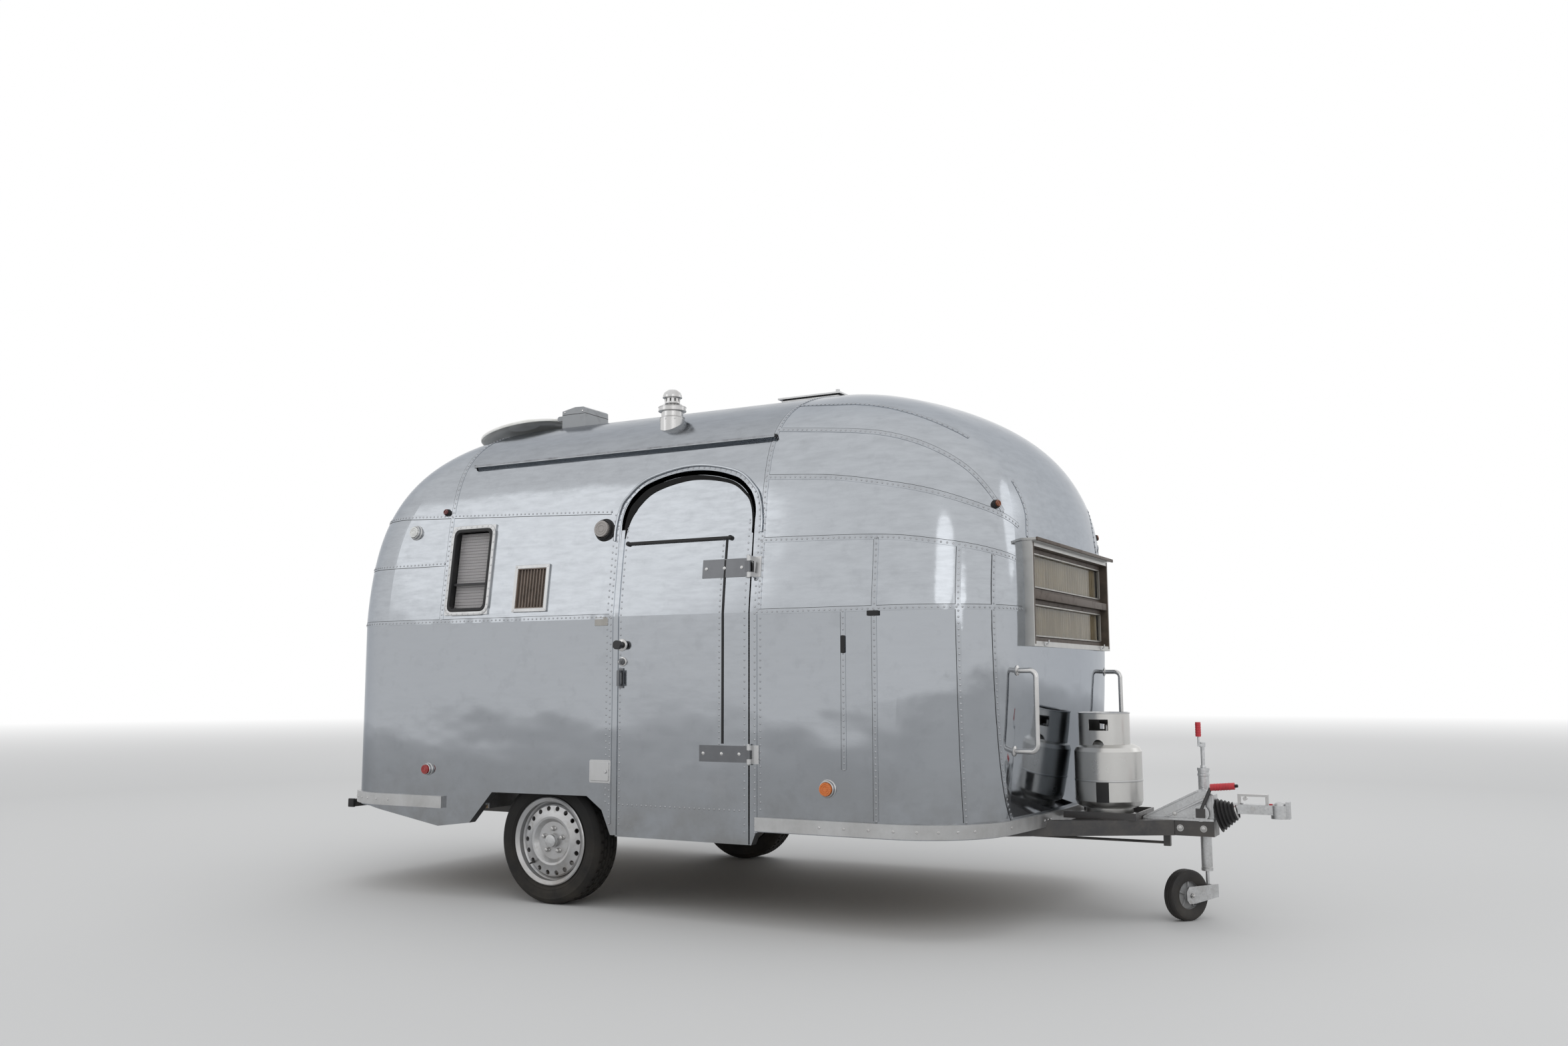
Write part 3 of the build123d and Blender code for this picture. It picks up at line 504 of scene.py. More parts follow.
class CARAVAN_OT_seams(bpy.types.Operator):
    """Lapped and riveted joints between the body sheets"""

    bl_idname = "caravan.seams"
    bl_label = "Seams and rivets"

    def execute(self, context):
        size = sizes()
        paths = [level(BELT_Z, (-1.45, 0), (0.385, -1.05)), level(BELT_Z, (1.18, -1.05), (2.29, -0.66)),
                 level(BELT_Z, (2.29, 0.66), (-1.45, 0.001))]
        for gore in GORES:
            paths += [bend(gore), bend(gore, mirror=True)]
        paths += [hoop(1.187), hoop(-0.662), bend(REAR_SEAM)]
        paths += [level(1.912, (-0.997, -0.976), (-0.662, 0.98)), along(1.885, -0.66, 1.18, side=1)]
        paths += [level(1.652, (-0.68, -1.014), (-0.662, 1.014)), along(1.665, -0.66, 1.18, side=1)]
        for side, _ in SIDES:
            for x, top in ((1.745, 1.655), (2.09, 1.615), (2.2, 1.575)):
                paths.append(upright(x, 0.475, top, side))
        paths += [upright(1.600, 0.68, 1.345), upright(-0.66, 0.40, 1.35, 1), upright(0.6, 0.38, 1.35, 1)]
        laps = [lap(path, size.lap_width, size.lap_rise) for path in paths]
        finish(laps, "sheet_laps", "polished_aluminium")
        # A thin black line along the edge of each lap: a painted shadow where the lap steps down to the
        # sheet.
        edge = -size.lap_width / 2 - 0.0008
        shadow_lines = [lap(path, 0.0026, size.lap_rise * 0.6, edge) for path in paths]
        finish(shadow_lines, "seam_sealant", "black_rubber")
        places = []
        for path in paths:
            places += rivet_places(path, size.rivet_pitch, size.lap_rise)
        finish(copies(rivet(), places), "sheet_rivets", "satin_aluminium", "rivets")
        return {"FINISHED"}


def arch(grow):
    """Door outline from the rear foot over the crown to the front foot, grown outwards."""
    x0, x1, foot, spring, crown = 0.428, 1.135, 0.40, 1.772, 2.006
    middle, half, rise = (x0 + x1) / 2, (x1 - x0) / 2 + grow, crown - spring + grow
    heights = (foot, 1.1, spring - 0.06)
    points = [(x0 - grow, 0, z) for z in heights]
    for a, b in ((-1, 0), (-0.965, 0.3), (-0.88, 0.53), (-0.6, 0.84), (0, 1), (0.6, 0.84), (0.88, 0.53),
                 (0.965, 0.3), (1, 0)):
        points.append((middle + a * half, 0, spring + b * rise))
    return points + [(x1 + grow, 0, z) for z in reversed(heights)]


def round_door(grow, tree, first=0, last=None):
    """Path on a wall that follows the door's outline, between two of its points."""
    knots = [Vector(point) for point in arch(grow)[first:last]]
    return [wall_spot(spot.x, spot.z, tree=tree) for spot in curve_through(knots, 14)]


def shadow_crescent_depth(share):
    """How much of its full width the black crescent has, from its rear end to its front end; the crescent is
    a painted shadow along the top of the door.
    """
    table = ((0, 0.05), (0.12, 0.42), (0.25, 0.86), (0.38, 0.74), (0.5, 0.50), (0.65, 0.26), (0.8, 0.12),
             (1, 0.03))
    for (s0, d0), (s1, d1) in zip(table, table[1:]):
        if share <= s1:
            return d0 + (d1 - d0) * (share - s0) / (s1 - s0)


def door_strips():
    """Frame strip, drip moulding, a black crescent that is a painted shadow along the top of the door,
    closing edge, rivets and drip bar of the door.
    """
    pitch, strip_rise, strip_sink = sizes().rivet_pitch, 0.004, 0.002
    frame_path = round_door(0.034, SKIN)
    finish(lap(frame_path, 0.022, 0.0022), "door_frame_strip", "polished_aluminium")
    places = rivet_places(frame_path, pitch * 1.2, 0.0022)
    for x in (0.372, 1.196):
        places += rivet_places(upright(x, 0.50, 1.84), pitch * 1.2)
    finish(copies(rivet(), places), "door_frame_rivets", "satin_aluminium", "rivets")
    drip = [spot + normal * 0.006 for spot, normal in round_door(0.046, SKIN, 2, 13)]
    finish(pipe(drip, 0.006), "door_drip_moulding", "polished_aluminium")

    # Black crescent along the top of the door leaf, widest at the upper rear: a painted shadow along the top
    # of the door.
    outer = round_door(-0.004, LEAF, 2, 13)
    inner = round_door(-0.044, LEAF, 2, 13)
    rings = []
    for i, ((a, normal), (b, _)) in enumerate(zip(outer, inner)):
        rim = a + (a - b).normalized() * 0.0028
        edge = a.lerp(b, shadow_crescent_depth(i / (len(outer) - 1)))
        rings.append([rim - normal * strip_sink, rim + normal * strip_rise, edge + normal * strip_rise,
                      edge - normal * strip_sink])
    finish(tube(rings), "door_weather_strip", "black_rubber", "matt_strip", "door")
    closing = upright(0.4315, 0.352, 1.762, tree=LEAF)
    finish(lap(closing, 0.019, 0.0042, -0.0055), "door_closing_edge", "polished_aluminium", body="door")

    places = []
    for path in (round_door(-0.020, LEAF, 0, 4), round_door(-0.020, LEAF, 11)):
        places += rivet_places(path, pitch * 1.2)
    places += rivet_places(along(0.49, 0.47, 1.09, tree=LEAF), pitch)
    seam = upright(1.003, 0.777, 1.685, tree=LEAF)
    places += rivet_places(seam, pitch, shift=-0.018)
    finish(copies(rivet(), places), "door_rivets", "satin_aluminium", "rivets", "door")
    finish(lap(seam, 0.0095, 0.0035), "door_inner_strip", "black_rubber", body="door")
    bar = [lap(along(1.694, 0.46, 1.024, tree=LEAF), 0.013, 0.012)]
    for spot in along(1.694, 0.462, 1.022, tree=LEAF, count=1):
        bar.append(turned([(0.011, -0.002), (0.011, 0.012), (0.008, 0.015)], *spot, 16))
    finish(soften(join(bar), 0.001, 1), "door_drip_bar", "black_rubber", body="door")


def door_fittings():
    """Roses, key, screws and pin caps of the lock and hinges."""
    rose = turned([(0.029, -0.001), (0.029, 0.003), (0.024, 0.006), (0.014, 0.007)],
                  *wall_spot(0.456, 1.219, tree=LEAF), 28)
    key_rose = turned([(0.022, -0.001), (0.022, 0.003), (0.018, 0.005)],
                      *wall_spot(0.462, 1.142, tree=LEAF), 24)
    finish([rose, key_rose], "lock_roses", "steel", body="door")
    blade = block(AXLE_X + 0.4605, AXLE_X + 0.4635, -1.0638, -1.0610, 1.135, 1.149, 0.0005, 1)
    bow = turned([(0.011, 0), (0.012, 0.001), (0.012, 0.002), (0.011, 0.003)], at(0.462, -1.074, 1.139),
                 (1, 0, 0), 18)
    shank = pipe([at(0.4635, -1.062, 1.142), at(0.4635, -1.067, 1.142)], 0.0022, False)
    finish([blade, bow, shank], "door_key", "steel", body="door")
    screws = []
    for z in (1.555, 0.733):
        for x in (0.905, 1.0, 1.09):
            spot, normal = wall_spot(x, z, tree=LEAF)
            screws.append(turned([(0.008, 0), (0.008, 0.002), (0.005, 0.0045), (0.002, 0.005)],
                                 spot + normal * 0.0028, normal, 14))
    finish(screws, "hinge_screws", "steel", body="door")
    caps = [turned([(0.0088, 0), (0.0088, 0.002), (0.006, 0.0055), (0.002, 0.0065)], at(1.147, -1.066, z),
                   (0, 0, up), 18) for z, up in ((1.509, -1), (1.601, 1), (0.693, -1), (0.773, 1))]
    finish(caps, "hinge_caps", "satin_aluminium")


def wall_plates():
    """Blank plate, socket flap and seam latches beside the door."""
    blank = plate(rounded(0.076, 0.040, 0.004), 0.0022, wall_spot(0.338, 1.331)[0])
    finish(blank, "blank_plate", "satin_aluminium", "dull_trim")
    flap_spot = wall_spot(0.342, 0.637)[0]
    flap = [plate(rounded(0.120, 0.106, 0.008), 0.004, flap_spot),
            plate(rounded(0.102, 0.088, 0.006), 0.008, flap_spot, edge=0.002),
            turned([(0.008, 0), (0.008, 0.004), (0.006, 0.006)], flap_spot + Vector((0.035, -0.008, 0)),
                   (0, -1, 0), 16)]
    finish(flap, "socket_flap", "satin_aluminium")
    latches = [plate(rounded(0.052, 0.022, 0.003), 0.012, *wall_spot(1.742, 1.333)),
               plate(rounded(0.018, 0.075, 0.006), 0.010, wall_spot(1.600, 1.205)[0])]
    finish(latches, "seam_latches", "black_rubber")


class CARAVAN_OT_door(bpy.types.Operator):
    """Door trims, rivets, lock and hinge parts, and the plates beside the door"""

    bl_idname = "caravan.door"
    bl_label = "Door trims"

    def execute(self, context):
        door_strips()
        door_fittings()
        wall_plates()
        return {"FINISHED"}


def wall_out(z):
    """Distance of the side wall from the middle at a height."""
    u = max(z - BELT_Z, 0) / (CROWN_Z - BELT_Z)
    return HALF_WIDTH * (1 - LEAN_SHARE * u) * (1 - u ** 6.63) ** (1 / 1.4)


def lean(obj):
    """Moves a piece made at y = 0 out to the right-hand wall and lets it follow the wall's lean."""
    for corner in obj.data.vertices:
        corner.co.y -= wall_out(corner.co.z)
    return obj


def side_window():
    """Seal, surround, rivets and blind of the side window."""
    x0, x1, z0, z1 = AXLE_X - 0.628, AXLE_X - 0.372, 1.398, 1.826
    seal = loop_frame(x0 + 0.002, x1 - 0.002, z0 + 0.002, z1 - 0.002, 0.016, -0.012, 0.022, 0.042)
    finish(lean(soften(seal, 0.0015)), "side_window_seal", "black_rubber")
    surround = loop_frame(x0 - 0.016, x1 + 0.016, z0 - 0.016, z1 + 0.016, 0.019, -0.0115, -0.0005, 0.05)
    finish(lean(soften(surround, 0.002)), "side_window_surround", "satin_aluminium")
    places = []
    outline = rounded(x1 - x0 + 0.016, z1 - z0 + 0.016, 0.045, 3)
    for (a0, b0), (a1, b1) in zip(outline, outline[1:] + outline[:1]):
        steps = max(1, round(math.hypot(a1 - a0, b1 - b0) / 0.04))
        for i in range(steps):
            x = (x0 + x1) / 2 + a0 + (a1 - a0) * i / steps
            z = (z0 + z1) / 2 + b0 + (b1 - b0) * i / steps
            places.append(Matrix.Translation((x, -wall_out(z) - 0.0115, z)) @ turn_to((0, -1, 0.09)))
    finish(copies(rivet(), places), "side_window_rivets", "satin_aluminium")
    blind, slats = [], 25
    for i in range(slats):
        z = z0 + 0.022 + i * (z1 - z0 - 0.044) / slats
        blind.append(block(x0 + 0.017, x1 - 0.017, 0.0275, 0.0305, z, z + 0.0148, 0.0014, 1))
    finish(lean(join(blind)), "side_window_blind", "grey_plastic", "blind")


def front_window():
    """Seals, sashes, drip rail and catches of the front window."""
    half, sill = 0.620, 1.217
    face = Matrix.Translation((FRONT_X - 0.0445, 0, 0)) @ Matrix.Rotation(math.pi / 2, 4, "Z")
    for name, slot, own, inset, width, depth in (
            ("front_window_seals", "black_rubber", "slats", 0.0, 0.018, 0.010),
            ("front_window_sashes", "satin_aluminium", "dull_trim", 0.019, 0.008, 0.014)):
        rings = []
        for low, high in ((1.221, 1.403), (1.435, 1.627)):
            reach = half - 0.025 - inset
            ring = loop_frame(-reach, reach, low + inset, high - inset, width, -depth, 0, 0.008)
            rings.append(soften(moved(ring, face), 0.0012, 1))
        finish(rings, name, slot, own)
    cover = block(FRONT_X - 0.0065, FRONT_X - 0.0030, 0.024 - half, half - 0.024, 1.402, 1.436, 0.001)
    drip = block(FRONT_X + 0.020, FRONT_X + 0.029, -half - 0.009, half + 0.009, 1.649, 1.6645, 0.002)
    jambs = [block(FRONT_X - 0.004, FRONT_X + 0.0012, side * (half - 0.0235), side * (half - 0.012), 1.206,
                   1.646, 0.0008, 1) for side, _ in SIDES]
    finish([cover, drip, *jambs], "front_window_drip", "black_rubber", "slats")
    catches = []
    for y in (-0.46, 0.46):
        catches.append(block(FRONT_X - 0.004, FRONT_X + 0.004, y - 0.02, y + 0.02, sill - 0.018, sill, 0.002))
        catches.append(pipe([(FRONT_X + 0.003, y, 1.208), (FRONT_X + 0.014, y, 1.207),
                             (FRONT_X + 0.014, y, 1.226)], 0.0035))
    finish(catches, "front_window_catches", "satin_aluminium")


def front_curtain():
    """Pleated curtain, gathered on its rail behind the front window."""
    pleats = sizes().pleats
    width, drop, top, x = 1.176, 0.402, 1.626, FRONT_X - 0.066
    columns, rows = pleats * 8, 10
    corners, faces = [], []
    for row in range(rows + 1):
        fall = row / rows
        for column in range(columns + 1):
            share = column / columns
            phase = share * pleats * 2 * math.pi
            depth = 0.010 * math.sin(phase + 0.35 * math.sin(share * 21) + 0.2 * fall)
            depth += 0.004 * math.sin(0.9 * phase + 1.1 + fall)
            corners.append((x + depth * (0.75 + 0.35 * fall),
                            -width / 2 + width * share + 0.0018 * math.cos(phase) * fall, top - drop * fall))
    for row in range(rows):
        for column in range(columns):
            a = row * (columns + 1) + column
            faces.append((a, a + 1, a + columns + 2, a + columns + 1))
    curtain = finish(raw(corners, faces), "front_curtain", "floor_board", "curtain", angle=60)
    finish(pipe([(x, -0.594, 1.618), (x, 0.594, 1.618)], 0.005, False), "curtain_rail", "satin_aluminium")


class CARAVAN_OT_windows(bpy.types.Operator):
    """Window seals, catches, the pleated curtain and the blind"""

    bl_idname = "caravan.windows"
    bl_label = "Windows"

    def execute(self, context):
        side_window()
        front_window()
        front_curtain()
        return {"FINISHED"}


class CARAVAN_OT_vents(bpy.types.Operator):
    """Dark slats in the wall vent, and its screws"""

    bl_idname = "caravan.vents"
    bl_label = "Wall vent"

    def execute(self, context):
        x0, x1, z0, z1 = AXLE_X - 0.194, AXLE_X - 0.002, 1.399, 1.611
        slats, count = [], 9
        tilt = Matrix.Rotation(math.radians(35), 4, "Z")
        for i in range(count):
            x = x0 + 0.012 + (i + 0.5) * (x1 - x0 - 0.024) / count
            middle = Vector((x, 0.009, 0))
            slat = block(x - 0.0085, x + 0.0085, 0.008, 0.0105, z0 + 0.012, z1 - 0.012, 0.0008, 1)
            slats.append(moved(slat, Matrix.Translation(middle) @ tilt @ Matrix.Translation(-middle)))
        # Black panel behind the slats: painted shade inside the vent.
        back = block(x0 + 0.010, x1 - 0.010, 0.024, 0.030, z0 + 0.010, z1 - 0.010, 0.001, 1)
        finish(lean(join(slats)), "vent_slats", "grey_plastic", "slats")
        finish(lean(back), "vent_back", "black_rubber")
        trim = loop_frame(x0 - 0.010, x1 + 0.010, z0 - 0.010, z1 + 0.010, 0.018, -0.011, -0.0005, 0.004)
        finish(lean(soften(trim, 0.0015, 1)), "vent_surround", "satin_aluminium")
        head = [(0.0045, 0), (0.0045, 0.001), (0.003, 0.0022)]
        screws = [turned(head, (x, -wall_out(z) - 0.011, z), (0, -1, 0.09), 12)
                  for x in (x0 - 0.001, x1 + 0.001) for z in (z0 - 0.001, z1 + 0.001)]
        finish(screws, "vent_screws", "steel")
        return {"FINISHED"}


# One side of a road tyre from bead to tread, as (radius, distance from the middle plane)
TYRE_SIDE = ((0.194, -0.066), (0.2085, -0.066), (0.2100, -0.0745), (0.2125, -0.0752), (0.217, -0.0795),
             (0.224, -0.0825), (0.2255, -0.0845), (0.2275, -0.0845), (0.229, -0.0838), (0.240, -0.0858),
             (0.252, -0.0862), (0.266, -0.0846), (0.2685, -0.0852), (0.2705, -0.0842), (0.280, -0.0775),
             (0.288, -0.0705), (0.2935, -0.0635), (0.295, -0.056))


def road_tyre(hub):
    """Tyre with four grooves and blocks cut across its ribs."""
    radius, depth = TYRE_RADIUS, sizes().tread_depth
    half = list(TYRE_SIDE)
    for middle in (-0.036, -0.012):
        half += [(radius, middle - 0.0048), (radius - depth, middle - 0.0036),
                 (radius - depth, middle + 0.0036), (radius, middle + 0.0048)]
    tyre = pick(turned(both_sides(half), hub, (0, 1, 0), 120, ring=True))
    bpy.ops.object.mode_set(mode="EDIT")
    bpy.ops.mesh.select_mode(type="FACE")
    bpy.ops.object.mode_set(mode="OBJECT")
    for polygon in tyre.data.polygons:
        spot = polygon.center - hub
        across = abs(spot.y)
        out = math.hypot(spot.x, spot.z)
        order = int((math.degrees(math.atan2(spot.z, spot.x)) % 360) / 3)
        outer_rib = 0.042 < across < 0.0635 and out > 0.2925 and order % 3 == 0
        inner_rib = 0.018 < across < 0.031 and out > 0.2942 and order % 3 == 1
        polygon.select = outer_rib or inner_rib
    bpy.ops.object.mode_set(mode="EDIT")
    bpy.ops.mesh.inset(thickness=0.0012, depth=0)
    bpy.ops.mesh.extrude_region_shrink_fatten(TRANSFORM_OT_shrink_fatten={"value": -depth * 0.75})
    bpy.ops.object.mode_set(mode="OBJECT")
    return tyre


class CARAVAN_OT_wheels(bpy.types.Operator):
    """Road tyres with tread, wheel bolts, centre caps and valves"""

    bl_idname = "caravan.wheels"
    bl_label = "Road wheels"

    def execute(self, context):
        for side, name in SIDES:
            hub = Vector((AXLE_X, side * WHEEL_Y, TYRE_RADIUS))
            out = (0, side, 0)
            body = "wheel_" + name
            tyre = finish(road_tyre(hub), "road_tyre_" + name, "tyre_rubber", body=body, angle=28)
            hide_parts("tyre_" + name)
            bolts = []
            for i in range(5):
                turn = 2 * math.pi * i / 5 + 0.3
                spot = hub + Vector((0.056 * math.cos(turn), side * 0.045, 0.056 * math.sin(turn)))
                bolts.append(turned([(0.0125, -0.001), (0.0125, 0.003), (0.0100, 0.006)], spot, out, 20))
                head = turned([(0.0098, 0.004), (0.0098, 0.016), (0.0085, 0.018)], spot, out, 6)
                bolts.append(soften(head, 0.0006, 1))
            finish(bolts, "wheel_bolts_" + name, "steel", body=body)
            cap = turned([(0.0305, 0.0), (0.0305, 0.012), (0.029, 0.0145), (0.020, 0.0165), (0.006, 0.0168)],
                         hub + Vector((0, side * 0.060, 0)), out, 36)
            finish(cap, "hub_cap_" + name, "galvanised_steel", body=body)
            stem = turned([(0.0055, 0), (0.0055, 0.012), (0.004, 0.014), (0.004, 0.034), (0.003, 0.036)],
                          hub + Vector((-0.104, side * 0.050, -0.104)), (-0.20, side, -0.20), 14)
            finish(stem, "tyre_valve_" + name, "black_rubber", body=body)
        return {"FINISHED"}


# Place, direction, radius and depth of each lamp, whether it has a twin on the left, and its case
LAMPS = (
    ((0.316, -1.0, 1.770), (0, -1, 0.13), 0.048, 0.034, False, "dark"),
    ((-0.901, -1.0, 1.826), (-0.05, -1, 0.15), 0.034, 0.024, False, "satin"),
    ((-0.703, -1.0, 1.925), (0, -1, 0.2), 0.017, 0.020, True, "dark"),
    ((-0.720, -1.0, 0.617), (0, -1, 0), 0.027, 0.028, True, "satin"),
    ((1.523, -1.0, 0.599), (0, -1, 0), 0.034, 0.028, True, "satin"),
    ((2.194, -0.779, 1.795), (0.88, -0.42, 0.2), 0.017, 0.020, True, "dark"),
    ((-1.440, -0.62, 0.720), (-1, 0, 0), 0.052, 0.030, True, "satin"),
)


class CARAVAN_OT_lamps(bpy.types.Operator):
    """Rims and flanges of the lamps, and rings on their lenses"""

    bl_idname = "caravan.lamps"
    bl_label = "Lamps"

    def execute(self, context):
        rims = {"satin": [], "dark": []}
        rings = {"clear": [], "marker": []}
        for (x, y, z), out, radius, deep, pair, case in LAMPS:
            for side in (-1, 1) if pair else (-1,):
                toward = Vector((out[0], -side * out[1], out[2])).normalized()
                middle = at(x, -side * y, z)
                spot, _ = cast(SKIN, middle - toward * 0.05, middle + toward * 0.3)
                rim = deep * 0.5
                flange = [(radius * 1.16, -0.003), (radius * 1.16, 0.002), (radius * 1.05, 0.005),
                          (radius * 0.98, rim), (radius * 0.99, rim + 0.003), (radius * 0.90, rim + 0.005),
                          (radius * 0.83, rim + 0.002)]
                rims[case].append(turned(flange, spot, toward, 36))
                for share in (0.55, 0.30):
                    rib = [(radius * share, deep - 0.001), (radius * (share + 0.05), deep + 0.0016),
                           (radius * (share + 0.1), deep - 0.001)]
                    rings["marker" if pair else "clear"].append(turned(rib, spot, toward, 30, ring=True))
        finish(rims["satin"], "lamp_rims", "satin_aluminium")
        finish(rims["dark"], "dark_lamp_rims", "black_rubber")
        finish(rings["clear"], "clear_lens_rings", "clear_lens")
        finish(rings["marker"], "marker_lens_rings", "marker_lens")
        return {"FINISHED"}


class CARAVAN_OT_bottle(bpy.types.Operator):
    """Weld seam, collar rim, valve, blank label and foot of the gas bottle"""

    bl_idname = "caravan.bottle"
    bl_label = "Gas bottle"

    def execute(self, context):
        centre = at(2.435, 0, 0)
        seam = [(0.1505, 0.594), (0.1525, 0.5955), (0.1532, 0.599), (0.1525, 0.6025), (0.1505, 0.604)]
        lip = [(0.1105, 0.898), (0.1165, 0.8975), (0.1175, 0.901), (0.1155, 0.9035), (0.1115, 0.9035)]
        foot = [(0.106, 0.441), (0.126, 0.442), (0.127, 0.446), (0.107, 0.452)]
        rings = [turned(seam, centre, steps=96, ring=True),
                 turned(lip, centre - Vector((0.014, 0, 0)), steps=72, ring=True),
                 turned(foot, centre, steps=72, ring=True)]
        finish(rings, "bottle_seams", "satin_aluminium")
        valve = turned([(0.012, 0.800), (0.013, 0.845), (0.011, 0.850), (0.010, 0.858)], centre, steps=20)
        outlet = turned([(0.012, 0.0), (0.012, 0.028), (0.010, 0.032)], centre + Vector((0.012, 0, 0.812)),
                        (1, 0.3, 0), 16)
        finish([valve, outlet], "bottle_valve", "steel")
        tap = turned([(0.012, 0.849), (0.033, 0.852), (0.036, 0.862), (0.033, 0.873), (0.012, 0.877)], centre,
                     steps=10)
        finish(soften(tap, 0.003), "bottle_tap", "black_rubber")
        label, steps = [], 8
        for i in range(steps + 1):
            turn = math.radians(-97 + i * 21.5 / steps)
            corners = ((0.1508, 0.506), (0.1522, 0.506), (0.1522, 0.597), (0.1508, 0.597))
            label.append([centre + plan_way(turn) * radius + Vector((0, 0, z)) for radius, z in corners])
        finish(tube(label), "bottle_blank_label", "black_rubber")
        return {"FINISHED"}


# Outlines of the ribs pressed in the side of the overrun housing, as stations from the axle and heights
RIBS = (((2.606, 0.447), (2.614, 0.447), (2.838, 0.5605), (2.832, 0.5665)),
        ((2.690, 0.447), (2.706, 0.447), (2.890, 0.538), (2.884, 0.5465)),
        ((2.896, 0.447), (2.904, 0.447), (2.904, 0.5465), (2.896, 0.5500)))


def hex_bolt(spot, toward, radius=0.009, height=0.006):
    """Hexagon head on a washer, as a list of its two parts."""
    washer = turned([(radius * 1.35, -0.001), (radius * 1.35, 0.0015)], spot, toward, 20)
    profile = [(radius, 0.001), (radius, 0.001 + height * 0.85), (radius * 0.86, 0.001 + height)]
    head = turned(profile, spot, toward, 6)
    return [washer, soften(head, 0.0005, 1)]


def cross_pin(x, z, radius, half, end=0.002):
    """Pin across the hitch with a chamfer at its left end."""
    return turned([(radius, -half), (radius, half), (radius - end, half + end)], at(x, 0, z), (0, 1, 0), 18)


class CARAVAN_OT_hitch(bpy.types.Operator):
    """Bolts, clamps, pivots and brake parts of the overrun hitch"""

    bl_idname = "caravan.hitch"
    bl_label = "Hitch"

    def execute(self, context):
        bolts, ribs = [], []
        for x, z in ((2.735, 0.462), (2.868, 0.462), (2.868, 0.535)):
            for side, _ in SIDES:
                bolts += hex_bolt(at(x, side * 0.042, z), (0, side, 0))
        for x in (2.76, 2.86):
            for side, _ in SIDES:
                bolts += hex_bolt(at(x, side * 0.058, 0.403), (0, side, 0), 0.011, 0.008)
        finish(bolts, "hitch_bolts", "steel")
        for side, _ in SIDES:
            for outline in RIBS:
                shape = [(-side * (a - 2.75), b - 0.45) for a, b in outline]
                ribs.append(plate(shape, 0.006, at(2.75, side * 0.0415, 0.450), (0, side, 0)))
        nipple = turned([(0.006, 0), (0.006, 0.005), (0.003, 0.008), (0.004, 0.012), (0.002, 0.014)],
                        at(2.852, 0, 0.5675), steps=12)
        finish([*ribs, nipple], "hitch_ribs", "galvanised_steel")
        tilt = Vector((math.cos(math.radians(15)), 0, math.sin(math.radians(15))))
        clamp = bead((0.0315, 0.0035), (0.0340, 0.003), at(2.912, 0, 0.460) + tilt * 0.0840, tilt, 40)
        finish(clamp, "bellows_clamp", "steel")
        pins = [cross_pin(3.065, 0.495, 0.009, 0.032), cross_pin(3.030, 0.536, 0.008, 0.020)]
        finish(pins, "coupling_pins", "steel")
        indicator = block(AXLE_X + 3.128, AXLE_X + 3.142, -0.006, 0.006, 0.511, 0.5175, 0.0015)
        finish(indicator, "coupling_button", "red_plastic")
        quadrant, pivot, tooth = [], at(2.850, -0.059, 0.470), 0.003
        for i in range(9):
            turn = math.radians(60 + i * 10)
            x, z = pivot.x + 0.038 * math.cos(turn), pivot.z + 0.038 * math.sin(turn)
            quadrant.append(block(x - tooth, x + tooth, -0.0625, -0.0555, z - tooth, z + tooth, 0.0008, 1))
        quadrant.append(turned([(0.036, -0.0025), (0.036, 0.0025)], pivot, (0, 1, 0), 28))
        finish(quadrant, "brake_quadrant", "galvanised_steel")
        button = turned([(0.007, 0), (0.007, 0.012), (0.005, 0.014)], at(2.998, -0.058, 0.592),
                        (0.996, 0, 0.09), 16)
        finish(button, "brake_button", "black_rubber")
        rings = [bead((0.0145, 0.0025), (0.0162, 0.0012), at(2.915 + i * 0.012, -0.058, 0.5844 + i * 0.00106),
                      (0.996, 0, 0.088), 24) for i in range(6)]
        finish(rings, "brake_grip_ribs", "red_plastic")
        return {"FINISHED"}


